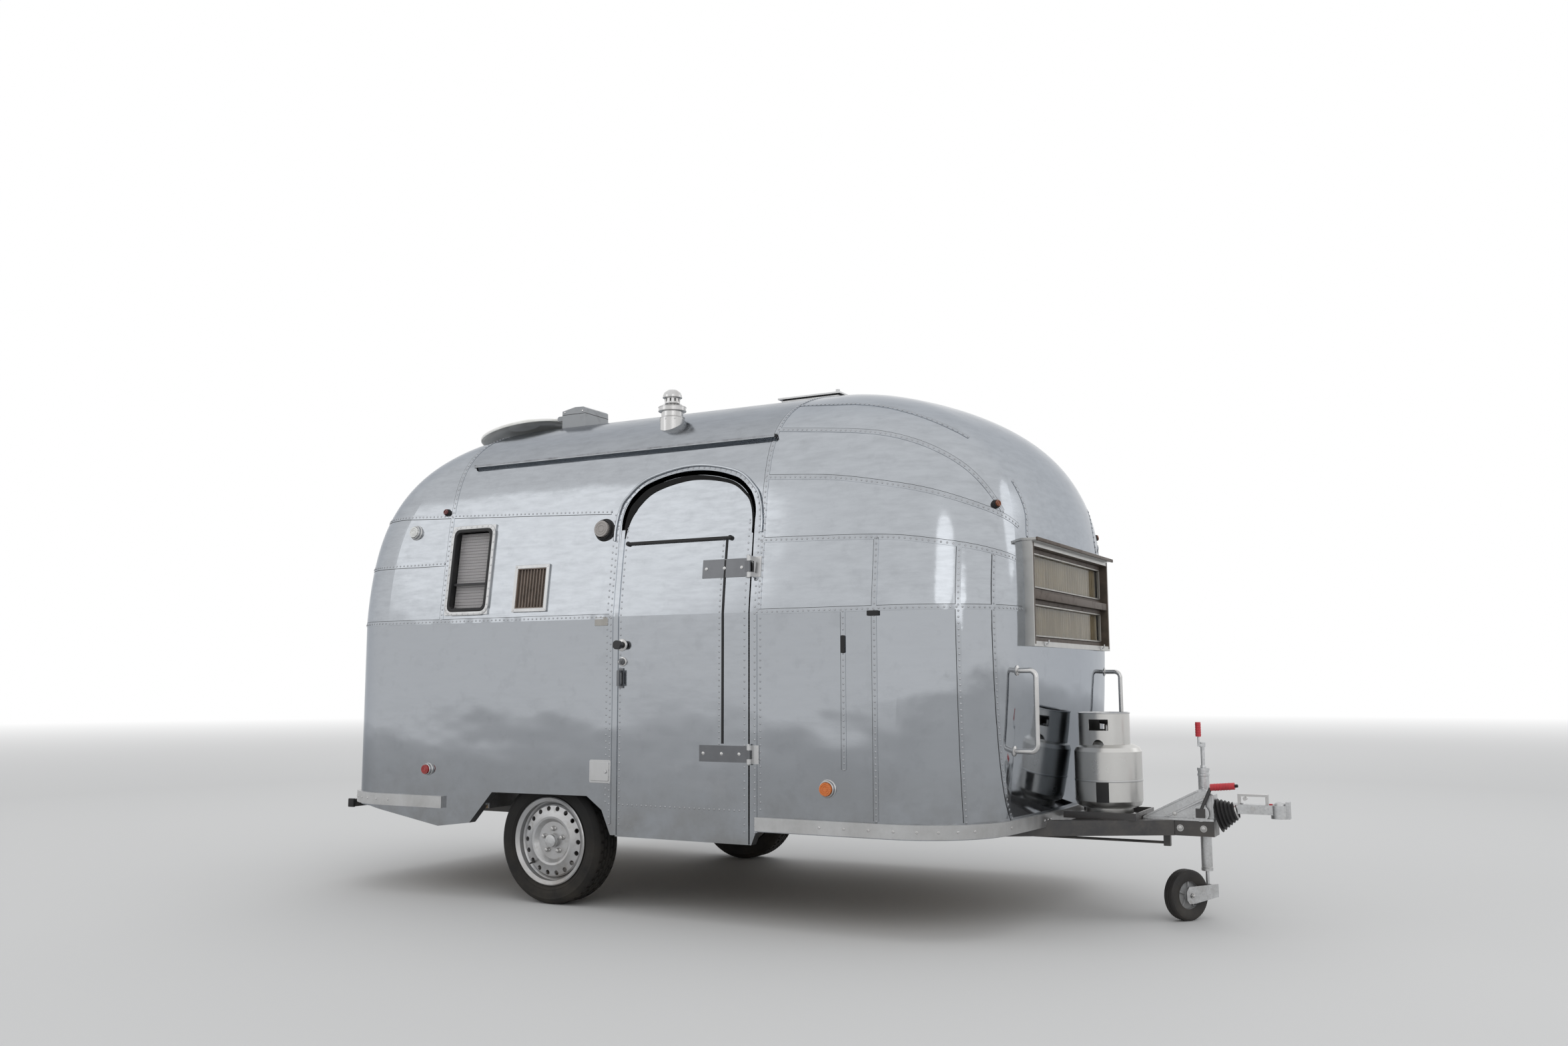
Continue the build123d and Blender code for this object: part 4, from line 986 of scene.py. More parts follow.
class CARAVAN_OT_jockey(bpy.types.Operator):
    """Clamp screw, caps, crank joints, roller tyre and hub of the jockey wheel"""

    bl_idname = "caravan.jockey"
    bl_label = "Jockey wheel"

    def execute(self, context):
        post = at(2.838, 0.100, 0)
        screw = [turned([(0.007, 0), (0.007, 0.045), (0.010, 0.046), (0.010, 0.058), (0.007, 0.060)],
                        post + Vector((0, 0.028, 0.487)), (0, 1, 0), 18),
                 pipe([post + Vector((x, 0.080, 0.487)) for x in (-0.048, 0.048)], 0.005, False)]
        for x in (post.x - 0.014, post.x + 0.014):
            screw.append(block(x - 0.004, x + 0.004, 0.128, 0.152, 0.468, 0.506, 0.0015))
        finish(screw, "clamp_screw", "galvanised_steel")
        collar = turned([(0.0242, 0.620), (0.0262, 0.622), (0.0262, 0.632), (0.0242, 0.634)], post, steps=28)
        foot = turned([(0.0200, 0.205), (0.0256, 0.206), (0.0256, 0.218), (0.0242, 0.220), (0.0200, 0.220)],
                      post, steps=28, ring=True)
        nut = soften(turned([(0.013, 0.657), (0.013, 0.667), (0.011, 0.669)], post, steps=6), 0.0006, 1)
        finish([collar, foot, nut], "jockey_collars", "galvanised_steel")
        knuckle = turned([(0.0135, 0.749), (0.0135, 0.769), (0.011, 0.771)], post, steps=18)
        finish(knuckle, "crank_knuckle", "galvanised_steel")
        ridges = [bead((0.0118, 0.0025), (0.0132, 0.001), post + Vector((-0.004, -0.062, 0.8065 + i * 0.011)),
                       steps=20) for i in range(5)]
        finish(ridges, "crank_grip_ribs", "red_plastic")

        turn = math.radians(180 + JOCKEY_TURN)
        trail = plan_way(turn)
        side = Vector((-math.sin(turn), math.cos(turn), 0))
        hub = post + trail * 0.132 + Vector((0, 0, 0.110))
        tread = [(0.060, -0.020), (0.074, -0.024), (0.090, -0.0285), (0.102, -0.0275), (0.1085, -0.022),
                 (0.110, -0.014), (0.110, -0.0085), (0.1075, -0.0075), (0.1075, -0.0055), (0.110, -0.0045)]
        tyre = turned(both_sides(tread), hub, side, 64, ring=True)
        finish(tyre, "roller_tyre", "black_rubber", body="jockey_roller")
        web = [(0.0105, -0.028), (0.022, -0.028), (0.024, -0.024), (0.024, -0.006), (0.058, -0.005),
               (0.060, -0.019), (0.067, -0.021)]
        core, spokes = [turned(both_sides(web), hub, side, 48, ring=True)], 5
        for i in range(spokes):
            spoke = block(0.023, 0.059, -0.0035, 0.0035, -0.0135, 0.0135, 0.0012)
            spin = Matrix.Rotation(2 * math.pi * i / spokes, 4, "Z")
            core.append(moved(spoke, Matrix.Translation(hub) @ turn_to(side) @ spin))
        wheel = finish(core, "roller_core", "grey_plastic", body="jockey_roller")
        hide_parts("jockey_wheel")
        ends = hex_bolt(hub + side * 0.043, side, 0.008) + hex_bolt(hub - side * 0.043, -side, 0.008)
        finish(ends, "roller_pin_ends", "steel", body="jockey_caster")
        return {"FINISHED"}


def roof_lid():
    """Ribs and seal of the roof lid."""
    x, z, half = AXLE_X + 0.990, 2.516, 0.166
    ribs = [block(x - 0.155, x + 0.155, y - 0.012, y + 0.012, z - 0.001, z + 0.0035)
            for y in (-0.11, -0.037, 0.037, 0.11)]
    finish(ribs, "lid_ribs", "satin_aluminium", body="vent_lid")
    seal = loop_frame(x - half, x + half, -half, half, 0.016, 0, 0.006, 0.02)
    seal = moved(seal, Matrix.Translation((0, 0, 2.502)) @ Matrix.Rotation(math.pi / 2, 4, "X"))
    finish(soften(seal, 0.001, 1), "lid_seal", "black_rubber")


def flue():
    """Bands, slots and screws of the flue."""
    foot = at(0.51, -0.720, 0)
    bands = [bead((r - 0.001, 0.003), (r + 0.002, 0.0015), foot + Vector((0, 0, z)), steps=40)
             for z, r in ((2.345, 0.0605), (2.3795, 0.0675), (2.3980, 0.0675), (2.4485, 0.0465))]
    finish(bands, "flue_bands", "steel")
    slots, slot_count, screws, screw_count = [], 10, [], 8
    for i in range(slot_count):
        slot = block(0.0355, 0.0375, -0.0035, 0.0035, 2.424, 2.441, 0.0008, 1)
        spin = Matrix.Rotation(2 * math.pi * i / slot_count, 4, "Z")
        slots.append(moved(slot, Matrix.Translation(foot) @ spin))
    finish(slots, "flue_slots", "black_rubber")
    for i in range(screw_count):
        away = plan_way(2 * math.pi * i / screw_count)
        screws.append(turned([(0.0042, -0.001), (0.0042, 0.001), (0.003, 0.0025)],
                             foot + away * 0.061 + Vector((0, 0, 2.334)), away, 10))
    finish(screws, "flue_screws", "steel")


def satellite_dish():
    """Rolled edge and back plate of the folded dish, with the seam and screws of its base."""
    lean_back = Matrix.Rotation(math.radians(-12), 4, "Y") @ Matrix.Rotation(math.radians(3), 4, "X")
    tilt = Matrix.Translation(at(-0.740, -0.330, 2.452)) @ lean_back
    lip = [(0.246, -0.0125), (0.2515, -0.0115), (0.2525, -0.006), (0.2515, -0.001), (0.2485, 0.0025)]
    edge = turned(lip, (0, 0, 0), steps=96, ring=True)
    finish(moved(edge, tilt), "dish_edge", "white_plastic", body="dish")
    back = turned([(0.055, 0.0465), (0.055, 0.0545), (0.051, 0.057), (0.020, 0.0585)], (0, 0, 0), steps=36)
    finish(moved(back, tilt), "dish_back_plate", "grey_plastic", body="dish")
    seams = [block(AXLE_X + x0, AXLE_X + x1, y0, y1, 2.5065, 2.5090, 0.0004, 1) for x0, x1, y0, y1 in (
        (-0.416, -0.262, -0.4108, -0.4092), (-0.416, -0.262, -0.2008, -0.1992),
        (-0.2635, -0.2612, -0.4085, -0.2015))]
    finish(seams, "dish_base_seam", "black_rubber")
    screws = [turned([(0.005, -0.001), (0.005, 0.001), (0.0035, 0.0025)], at(x, y, 2.522), (0, out, 0), 12)
              for x in (-0.400, -0.280) for y, out in ((-0.410, -1), (-0.200, 1))]
    finish(screws, "dish_base_screws", "steel")


class CARAVAN_OT_roof(bpy.types.Operator):
    """Ribs, bands and seams of the lid, flue and dish on the roof, and the gutters' ends"""

    bl_idname = "caravan.roof"
    bl_label = "Roof fittings"

    def execute(self, context):
        roof_lid()
        flue()
        satellite_dish()
        ends = []
        for side, _ in SIDES:
            for station in (-0.592, 1.192):
                x, y, _ = wall_spot(station, 2.166, side)[0]
                ends.append(block(x - 0.006, x + 0.006, y - side * 0.004, y + side * 0.022, 2.157, 2.173,
                                  0.003))
        finish(ends, "gutter_ends", "black_rubber")
        return {"FINISHED"}


class CARAVAN_OT_trims(bpy.types.Operator):
    """Screws of the rub strips, roses of the grab handles, bumper end caps and chassis bolts"""

    bl_idname = "caravan.trims"
    bl_label = "Strips and chassis"

    def execute(self, context):
        strip = tree_of("rub_strips")
        places, count = [], 12
        for z, x0, x1 in ((0.439, 1.2, 2.29), (0.459, -1.44, -0.63)):
            for side, _ in SIDES:
                hub = at(CABIN_X, 0, z)
                for i in range(count):
                    x = x0 + (x1 - x0) * (i + 0.5) / count
                    off = x - CABIN_X
                    y = side * (1.3 if -1.1 < x < 1.9 else 1.05 if abs(off) < 1.6 else 0.6)
                    spot, normal = cast(strip, hub + Vector((off, 0, 0)) * 0.6,
                                        hub + Vector((off, y, 0)).normalized() * OUTSIDE)
                    places.append(Matrix.Translation(spot) @ turn_to(normal))
        screw = turned([(0.006, -0.001), (0.006, 0.0008), (0.004, 0.0024)], (0, 0, 0), steps=10)
        finish(copies(screw, places), "rub_strip_screws", "steel")
        roses, caps, bolts = [], [], []
        rail_y, rail_z, narrows_x, narrowing = 0.585, 0.403, 1.85, 0.5819
        for side, _ in SIDES:
            for z in (0.755, 1.092):
                spot, normal = cast(SKIN, at(2.0, side * 0.70, z), at(2.6, side * 0.70, z))
                roses.append(turned([(0.022, -0.002), (0.022, 0.003), (0.016, 0.006), (0.0115, 0.008)], spot,
                                    normal, 28))
            caps.append(block(-2.3565, -2.314, side * 0.818, side * 0.834, 0.3795, 0.4245, 0.004, 3))
            for x in (-1.30, -0.535, 0.12, 0.20, 0.665, 1.275):
                bolts += hex_bolt(at(x, side * rail_y, rail_z), (0, side, 0), 0.010, 0.007)
            for x in (1.90, 2.15):
                y = side * (rail_y - (x - narrows_x) * narrowing)
                bolts += hex_bolt(at(x, y, rail_z), (0.5, side * 0.86, 0), 0.010, 0.007)
        finish(roses, "handle_roses", "steel")
        finish(caps, "bumper_caps", "black_rubber")
        finish(bolts, "chassis_bolts", "steel")
        return {"FINISHED"}


# Finishes

class Nodes:
    """Adds and joins the nodes of one tree"""

    def __init__(self, tree):
        self.tree = tree

    def add(self, kind, **settings):
        made = self.tree.nodes.new("ShaderNode" + kind)
        for key, value in settings.items():
            setattr(made, key, value)
        return made

    def feed(self, socket, value):
        """Joins a socket to a node's output, or gives it a plain value or colour."""
        if isinstance(value, bpy.types.NodeSocket):
            self.tree.links.new(value, socket)
        elif socket.type == "RGBA":
            socket.default_value = (*value[:3], 1)
        else:
            socket.default_value = value

    def result(self, kind, inputs, output=0, **settings):
        """Output of a new node, its inputs given by name or number."""
        made = self.add(kind, **settings)
        for key, value in inputs.items():
            self.feed(made.inputs[key], value)
        return made.outputs[output]

    def math(self, operation, a, b):
        return self.result("Math", {0: a, 1: b}, operation=operation)

    def times(self, a, b):
        return self.math("MULTIPLY", a, b)

    def plus(self, a, b):
        return self.math("ADD", a, b)

    def larger(self, a, b):
        return self.math("MAXIMUM", a, b)

    def span(self, source, low, high, to_low=0.0, to_high=1.0):
        """Maps one range to another and clamps it."""
        return self.result("MapRange", dict(enumerate((source, low, high, to_low, to_high))))

    def blend(self, factor, a, b):
        """Colour between two, by a mask."""
        return self.result("Mix", {0: factor, 6: a, 7: b}, 2, data_type="RGBA")

    def place(self):
        return self.add("TexCoord").outputs["Object"]

    def axis(self, label):
        return self.result("SeparateXYZ", {0: self.place()}, label)

    def noise(self, scale, detail=3.0, rough=0.5, stretch=None):
        """Cloud pattern on the object's own coordinates, stretched if asked."""
        place = self.place()
        if stretch:
            place = self.result("Mapping", {"Vector": place, "Scale": stretch})
        inputs = {"Vector": place, "Scale": scale, "Detail": detail, "Roughness": rough}
        return self.result("TexNoise", inputs)

    def waves(self, direction, scale, distortion=0.0):
        inputs = {"Vector": self.place(), "Scale": scale, "Distortion": distortion}
        return self.result("TexWave", inputs, "Fac", wave_type="BANDS", bands_direction=direction)

    def effect(self, name, **values):
        """Outputs of a shared effect, placed with its own values."""
        made = self.add("Group", node_tree=bpy.data.node_groups[name])
        for key, value in values.items():
            made.inputs[key].default_value = value
        return made.outputs

    def patches(self, scale, low, high):
        return self.effect("patches", Scale=scale, Low=low, High=high)["Mask"]

    def grime(self, low, high, strength):
        return self.effect("road_grime", Low=low, High=high, Strength=strength)["Mask"]

    def within(self, across, a0, a1, z0, z1):
        """Mask that is 1 between two values across, along X or Y, and two heights."""
        tests = []
        for label, low, high in ((across, a0, a1), ("Z", z0, z1)):
            place = self.axis(label)
            tests += [self.math("GREATER_THAN", place, low), self.math("LESS_THAN", place, high)]
        return reduce(self.times, tests)


class Coating(Nodes):
    """A material with its Principled shader"""

    def __init__(self, name, base, roughness, metallic=0.0, **inputs):
        self.material = bpy.data.materials.new(name)
        self.material.use_nodes = True
        super().__init__(self.material.node_tree)
        self.shader = self.tree.nodes["Principled BSDF"]
        self.set(Base_Color=base, Roughness=roughness, Metallic=metallic, **inputs)

    def set(self, **inputs):
        for key, value in inputs.items():
            self.feed(self.shader.inputs[key.replace("_", " ")], value)

    def done(self, tone, rough, height, strength, distance):
        """Feeds the shader its colour, roughness and bump, and gives back the material."""
        bump = self.result("Bump", {"Strength": strength, "Distance": distance, "Height": height})
        self.set(Base_Color=tone, Roughness=rough, Normal=bump)
        return self.material


class Effect(Nodes):
    """A shader group with named sockets, shared by several finishes"""

    def __init__(self, name, outputs, **inputs):
        group = bpy.data.node_groups.new(name, "ShaderNodeTree")
        super().__init__(group)
        for label, value in inputs.items():
            socket = group.interface.new_socket(label, in_out="INPUT", socket_type="NodeSocketFloat")
            socket.default_value = value
        for label in outputs:
            group.interface.new_socket(label, in_out="OUTPUT", socket_type="NodeSocketFloat")
        self.values = group.nodes.new("NodeGroupInput").outputs
        self.results = group.nodes.new("NodeGroupOutput").inputs


def make_effects():
    """Road grime low down, patches, and the streaks and ripples of rolled sheet."""
    made = Effect("road_grime", ("Mask",), Low=0.3, High=0.8, Strength=0.5)
    height = made.span(made.axis("Z"), made.values["High"], made.values["Low"])
    mixed = made.times(height, made.span(made.noise(7.0, 6.0, 0.62), 0.32, 0.68))
    made.feed(made.results["Mask"], made.times(mixed, made.values["Strength"]))

    made = Effect("patches", ("Mask",), Scale=4.0, Low=0.4, High=0.6)
    cloud = made.noise(made.values["Scale"], 5.0, 0.6)
    made.feed(made.results["Mask"], made.span(cloud, made.values["Low"], made.values["High"]))

    made = Effect("rolled_sheet", ("Height", "Streaks"), Waves=2.2, Scratches=0.12)
    wave = made.noise(made.values["Waves"], 2.0, 0.4, (1.0, 1.0, 1.5))
    fine = made.noise(3.0, 4.0, 0.7, (30, 30, 240))
    made.feed(made.results["Height"], made.plus(wave, made.times(fine, made.values["Scratches"])))
    made.feed(made.results["Streaks"], made.span(made.noise(2.0, 5.0, 0.6, (9, 9, 0.8)), 0.35, 0.7))


def darker(tone, share):
    return [value * share for value in tone]


def rolled_metal(name, bright, dull, rough_low, rough_high, grime, waves, strength, distance):
    """Rolled metal with streaks, dull patches and grime low down."""
    metal = Coating(name, bright, rough_low, 1.0)
    rolled = metal.effect("rolled_sheet", Waves=waves, Scratches=0.03)
    dirt = metal.grime(0.30, 0.75, grime)
    tone = metal.blend(rolled["Streaks"], bright, [0.5 * (a + b) for a, b in zip(bright, dull)])
    tone = metal.blend(metal.times(metal.patches(5.0, 0.42, 0.66), 0.45), tone, dull)
    tone = metal.blend(dirt, tone, (0.16, 0.15, 0.13))
    rough = metal.span(rolled["Streaks"], 0.0, 1.0, rough_low, rough_high)
    rough = metal.plus(rough, metal.times(dirt, 0.3))
    return metal.done(tone, rough, rolled["Height"], strength, distance)


def body_sheet(name, shade=1.0, extra=0.0, haze=(BELT_Z - 0.01, BELT_Z + 0.01)):
    """Mirror-polished sheet: dulled and smeared above the belt; clearer and rippled below it, and darker
    there as a painted reflection of dark ground.
    """
    bright = darker(colours().sheet, shade)
    dull = darker(colours().sheet_dull, shade)
    sheet = Coating(name, bright, 0.1, 1.0, Specular_Tint=(0.66, 0.68, 0.71))
    upper = sheet.span(sheet.axis("Z"), *haze)
    smear = sheet.noise(4.5, 7.0, 0.62, (2.0, 2.0, 9.0))
    dirt = sheet.grime(0.32, 0.72, 0.55)
    mask = sheet.times(sheet.span(smear, 0.38, 0.68), sheet.span(upper, 0, 1, 0.2, 0.6))
    tone = sheet.blend(mask, bright, dull)
    # Darker below the belt: a painted reflection of dark ground.
    clear = sheet.times(sheet.math("SUBTRACT", 1.0, upper), 0.5)
    tone = sheet.blend(clear, tone, darker(bright, 0.74))
    tone = sheet.blend(sheet.times(sheet.patches(13.0, 0.55, 0.68), 0.16), tone, darker(dull, 0.75))
    tone = sheet.blend(dirt, tone, (0.17, 0.16, 0.14))
    rough = sheet.plus(sheet.span(upper, 0, 1, 0.035 + extra, 0.105 + extra),
                       sheet.times(sheet.span(smear, 0.38, 0.70), 0.06))
    rough = sheet.plus(rough, sheet.times(dirt, 0.35))
    ripple = sheet.effect("rolled_sheet", Waves=2.1, Scratches=0.004)["Height"]
    return sheet.done(tone, rough, ripple, 0.42, 0.012)


def two_tone(name, outer, inner, boxes, rough_in, rough_out):
    """Satin metal that has another colour inside the given boxes."""
    metal = Coating(name, outer, rough_out, 1.0)
    mask = reduce(metal.larger, [metal.within(*box) for box in boxes])
    patch = metal.patches(18.0, 0.42, 0.66)
    tone = metal.blend(metal.times(patch, 0.4), outer, darker(outer, 0.8))
    tone = metal.blend(mask, tone, metal.blend(patch, inner, darker(inner, 0.6)))
    metal.set(Metallic=metal.math("SUBTRACT", 1.0, mask))
    return metal.done(tone, metal.span(mask, 0.0, 1.0, rough_out, rough_in), metal.noise(300.0), 0.12, 0.0006)


def bottle_aluminium():
    """Brushed aluminium, with painted shade inside the collar."""
    fresh = (0.60, 0.595, 0.58)
    metal = Coating("gas bottle", fresh, 0.3, 1.0)
    flat = metal.result("VectorMath", {0: metal.place(), 1: (1, 1, 0)}, operation="MULTIPLY")
    away = metal.result("VectorMath", {0: flat, 1: (AXLE_X + 2.421, 0, 0)}, "Value", operation="DISTANCE")
    above = metal.math("GREATER_THAN", metal.axis("Z"), 0.765)
    inside = metal.times(metal.math("LESS_THAN", away, 0.1115), above)
    patch = metal.patches(7.0, 0.35, 0.75)
    tone = metal.blend(metal.times(patch, 0.3), fresh, (0.50, 0.49, 0.47))
    # Nearly black inside the collar: painted shade where the collar hides the light.
    tone = metal.blend(metal.times(inside, 0.85), tone, (0.05, 0.05, 0.05))
    turns = metal.noise(3.0, 4.0, 0.6, (4, 4, 160))
    return metal.done(tone, metal.span(patch, 0.0, 1.0, 0.27, 0.33), turns, 0.10, 0.0003)


def painted(name, fresh, worn, roughness, grime=0.5, coat=0.3, metallic=0.0, scale=22.0):
    """Paint or plastic with worn patches and grime low down."""
    paint = Coating(name, fresh, roughness, metallic, Coat_Weight=coat)
    patch = paint.patches(scale, 0.52, 0.68)
    tone = paint.blend(paint.times(patch, 0.5), fresh, worn)
    tone = paint.blend(paint.grime(0.10, 0.60, grime), tone, (0.20, 0.17, 0.13))
    return paint.done(tone, paint.plus(paint.times(patch, 0.15), roughness), paint.noise(380.0), 0.12, 0.0006)


def rubber(name, fresh, dusty, roughness, grain=540.0):
    """Matt rubber, dusty in patches."""
    made = Coating(name, fresh, roughness, Specular_IOR_Level=0.3)
    patch = made.patches(9.0, 0.38, 0.70)
    tone = made.blend(made.times(patch, 0.5), fresh, dusty)
    tone = made.blend(made.grime(0.0, 0.50, 0.35), tone, (0.10, 0.085, 0.065))
    rough = made.span(patch, 0.0, 1.0, roughness, min(roughness + 0.2, 1))
    return made.done(tone, rough, made.noise(grain, 4.0), 0.25, 0.0008)


def spangled_zinc():
    """Dull zinc with a pattern of crystals."""
    zinc = Coating("zinc", (0.55, 0.56, 0.57), 0.42, 1.0)
    cells = zinc.result("TexVoronoi", {"Scale": 130.0, "Vector": zinc.place()}, "Color")
    grey = zinc.result("RGBToBW", {0: cells})
    tone = zinc.blend(grey, (0.50, 0.51, 0.52), (0.66, 0.67, 0.68))
    tone = zinc.blend(zinc.grime(0.05, 0.75, 0.45), tone, (0.17, 0.14, 0.11))
    return zinc.done(tone, zinc.span(grey, 0.0, 1.0, 0.34, 0.52), zinc.noise(90.0, 4.0), 0.15, 0.001)


def plywood():
    wood = Coating("plywood", (0.33, 0.25, 0.16), 0.55)
    rings = wood.noise(5.0, 8.0, 0.65, (1.0, 14.0, 1.0))
    tone = wood.blend(wood.span(rings, 0.35, 0.65), (0.24, 0.17, 0.10), (0.42, 0.32, 0.20))
    return wood.done(tone, 0.55, rings, 0.2, 0.001)


def window_glass():
    glass = Coating("window glass", (0.86, 0.90, 0.91), 0.02, Transmission_Weight=1.0, IOR=1.1)
    glass.set(Roughness=glass.span(glass.noise(6.0, 5.0), 0.45, 0.7, 0.01, 0.09))
    return glass.material


def clear_lens():
    """Ribbed clear lens, grey at the porch lamp, its ribs in lighter and darker bands that are painted
    glints.
    """
    lens = Coating("clear lens", (0.72, 0.72, 0.70), 0.12, Coat_Weight=0.6)
    ribs = lens.waves("X", 90.0)
    # Lighter and darker bands along the ribs: painted glints.
    tone = lens.blend(ribs, (0.50, 0.51, 0.50), (0.82, 0.82, 0.79))
    porch = lens.within("X", AXLE_X + 0.25, AXLE_X + 0.38, 1.70, 1.84)
    return lens.done(lens.blend(porch, tone, (0.27, 0.25, 0.235)), 0.12, ribs, 0.4, 0.002)


def marker_lens():
    """Ribbed lens: orange at the front, red at the back; its ribs alternate between lit and shaded copies of
    the colour as painted light and shade, and the lenses high up are nearly black, partly a deeper colour and
    partly painted shade.
    """
    lens = Coating("marker lens", (0.6, 0.1, 0.03), 0.14, Coat_Weight=0.6)
    front = lens.math("GREATER_THAN", lens.axis("X"), AXLE_X + 0.5)
    high = lens.math("GREATER_THAN", lens.axis("Z"), 1.5)
    ribs = lens.waves("Z", 75.0)
    # lit and deep are lit and shaded copies of each colour, mixed along the ribs: painted light and shade.
    lit = lens.blend(front, (0.42, 0.010, 0.008), (0.72, 0.20, 0.02))
    deep = lens.blend(front, (0.20, 0.004, 0.004), (0.45, 0.09, 0.01))
    # Lenses high up are nearly black: partly a deeper colour, partly painted shade.
    tone = lens.blend(lens.times(high, 0.75), lens.blend(ribs, deep, lit), (0.05, 0.012, 0.008))
    return lens.done(tone, 0.14, ribs, 0.4, 0.002)


def curtain_cloth():
    dye = tuple(colours().curtain)
    cloth = Coating("curtain cloth", dye, 0.9, Sheen_Weight=0.3)
    weave = cloth.waves("Z", 260.0, 1.0)
    tone = cloth.blend(cloth.span(cloth.noise(14.0, 5.0), 0.3, 0.7), darker(dye, 0.82), darker(dye, 1.12))
    tone = cloth.blend(cloth.times(weave, 0.25), tone, darker(dye, 0.6))
    return cloth.done(tone, 0.9, weave, 0.25, 0.0008)


def blind_slats():
    slats = Coating("blind slats", (0.36, 0.33, 0.33), 0.6)
    ribs = slats.waves("X", 45.0)
    tone = slats.blend(ribs, (0.29, 0.265, 0.27), (0.42, 0.39, 0.385))
    return slats.done(tone, 0.6, ribs, 0.2, 0.001)


def make_finishes():
    """Fills the table of finishes: the record's slots, and those that only some parts have."""
    make_effects()
    x, trim = AXLE_X, tuple(colours().trim)
    knob_black, case_black = (0.016, 0.016, 0.018), (0.02, 0.02, 0.022)
    table = (
        ("polished_aluminium", body_sheet, "polished sheet"),
        ("cap_sheet", body_sheet, "end cap sheet", 1.06, -0.01),
        ("roof_sheet", body_sheet, "roof sheet", 0.86, 0.05),
        ("door_sheet", body_sheet, "door sheet", 1.0, 0.05, (0.95, 1.75)),
        ("rivets", rolled_metal, "rivet heads", (0.42, 0.43, 0.45), (0.30, 0.31, 0.33), 0.22, 0.4, 0.4, 14.0,
         0.1, 0.001),
        ("satin_aluminium", rolled_metal, "satin trim", trim, (0.52, 0.52, 0.52), 0.30, 0.46, 0.45, 12.0,
         0.15, 0.0015),
        ("steel", rolled_metal, "bright steel", (0.62, 0.62, 0.62), (0.45, 0.44, 0.43), 0.18, 0.32, 0.3, 20.0,
         0.12, 0.001),
        ("dull_trim", rolled_metal, "dull trim", (0.36, 0.35, 0.33), (0.26, 0.25, 0.23), 0.32, 0.48, 0.3,
         14.0, 0.12, 0.001),
        ("black_steel", painted, "black paint", (0.022, 0.022, 0.025), (0.06, 0.055, 0.05), 0.38),
        ("silver_steel", painted, "wheel silver", tuple(colours().wheel), (0.38, 0.37, 0.35), 0.34, 0.55, 0.5,
         0.75, 30.0),
        ("white_plastic", painted, "white shell", (0.74, 0.74, 0.71), (0.58, 0.57, 0.52), 0.28, 0.0, 0.2, 0.0,
         9.0),
        ("grey_plastic", painted, "grey moulding", (0.30, 0.31, 0.32), (0.22, 0.22, 0.22), 0.5, 0.3, 0.0, 0.0,
         16.0),
        ("red_plastic", painted, "red grip", tuple(colours().grip), (0.30, 0.03, 0.03), 0.35, 0.2, 0.2, 0.0,
         30.0),
        ("slats", painted, "brown slats", (0.07, 0.052, 0.04), (0.04, 0.03, 0.024), 0.55, 0.0, 0.0),
        # The tyre's black is darker than plain rubber: partly its own black, partly painted shade.
        ("tyre_rubber", rubber, "tyre", (0.009, 0.009, 0.0095), (0.026, 0.025, 0.023), 0.7, 360.0),
        ("black_rubber", rubber, "seal rubber", (0.014, 0.014, 0.015), (0.035, 0.034, 0.033), 0.5),
        # Near-black matt finish of the door's crescent, which is a painted shadow.
        ("matt_strip", rubber, "matt strip", (0.005, 0.005, 0.005), (0.012, 0.012, 0.012), 0.8),
        ("window_frame", two_tone, "side window frame", trim, (0.018, 0.018, 0.02),
         (("X", x - 0.624, x - 0.376, 1.402, 1.822),), 0.5, 0.36),
        ("vent_frame", two_tone, "vent frame", trim, (0.17, 0.13, 0.105),
         (("X", x - 0.186, x - 0.010, 1.407, 1.603),), 0.45, 0.36),
        ("lamp_cases", two_tone, "lamp cases", trim, case_black,
         (("X", x + 0.25, x + 0.38, 1.70, 1.84), ("X", x - 0.74, x - 0.67, 1.89, 1.96),
          ("X", x + 2.13, x + 2.30, 1.74, 1.86)), 0.4, 0.3),
        ("gutter", two_tone, "gutter", (0.46, 0.48, 0.50), (0.33, 0.34, 0.36),
         (("X", x - 1.0, x + 1.5, 2.1606, 2.3),), 0.4, 0.2),
        ("front_frame", two_tone, "front window frame", (0.44, 0.44, 0.43), (0.085, 0.066, 0.05),
         (("Y", -0.5975, 0.5975, 1.2185, 1.6295),), 0.45, 0.34),
        ("fittings", two_tone, "door fittings", (0.17, 0.175, 0.185), knob_black,
         (("X", x + 0.42, x + 0.49, 1.19, 1.25),), 0.3, 0.3),
        ("galvanised_steel", spangled_zinc), ("bottle", bottle_aluminium), ("floor_board", plywood),
        ("window_glass", window_glass), ("clear_lens", clear_lens), ("marker_lens", marker_lens),
        ("curtain", curtain_cloth), ("blind", blind_slats),
    )
    for name, make, *values in table:
        FINISH[name] = make(*values)


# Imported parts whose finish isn't the plain one of their slot
OWN_FINISH = {
    "lower_front_cap": "cap_sheet", "front_cap_sides": "cap_sheet", "front_cap_centre": "cap_sheet",
    "roof_panel": "roof_sheet", "door_leaf": "door_sheet", "side_window_frame": "window_frame",
    "front_window_frame": "front_frame", "vent_grille": "vent_frame", "lamp_bezels": "lamp_cases",
    "rain_gutters": "gutter", "door_fittings": "fittings", "gas_bottle": "bottle",
}


class CARAVAN_OT_finishes(bpy.types.Operator):
    """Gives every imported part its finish"""

    bl_idname = "caravan.finishes"
    bl_label = "Finishes"

    def execute(self, context):
        for row in frame["record"]["subparts"]:
            obj = frame["nodes"][row["node"]]
            material = FINISH[OWN_FINISH.get(row["node"], row["material_slot"])]
            if not obj.data.materials:
                obj.data.materials.append(material)
            for slot in obj.material_slots:
                slot.material = material
        return {"FINISHED"}


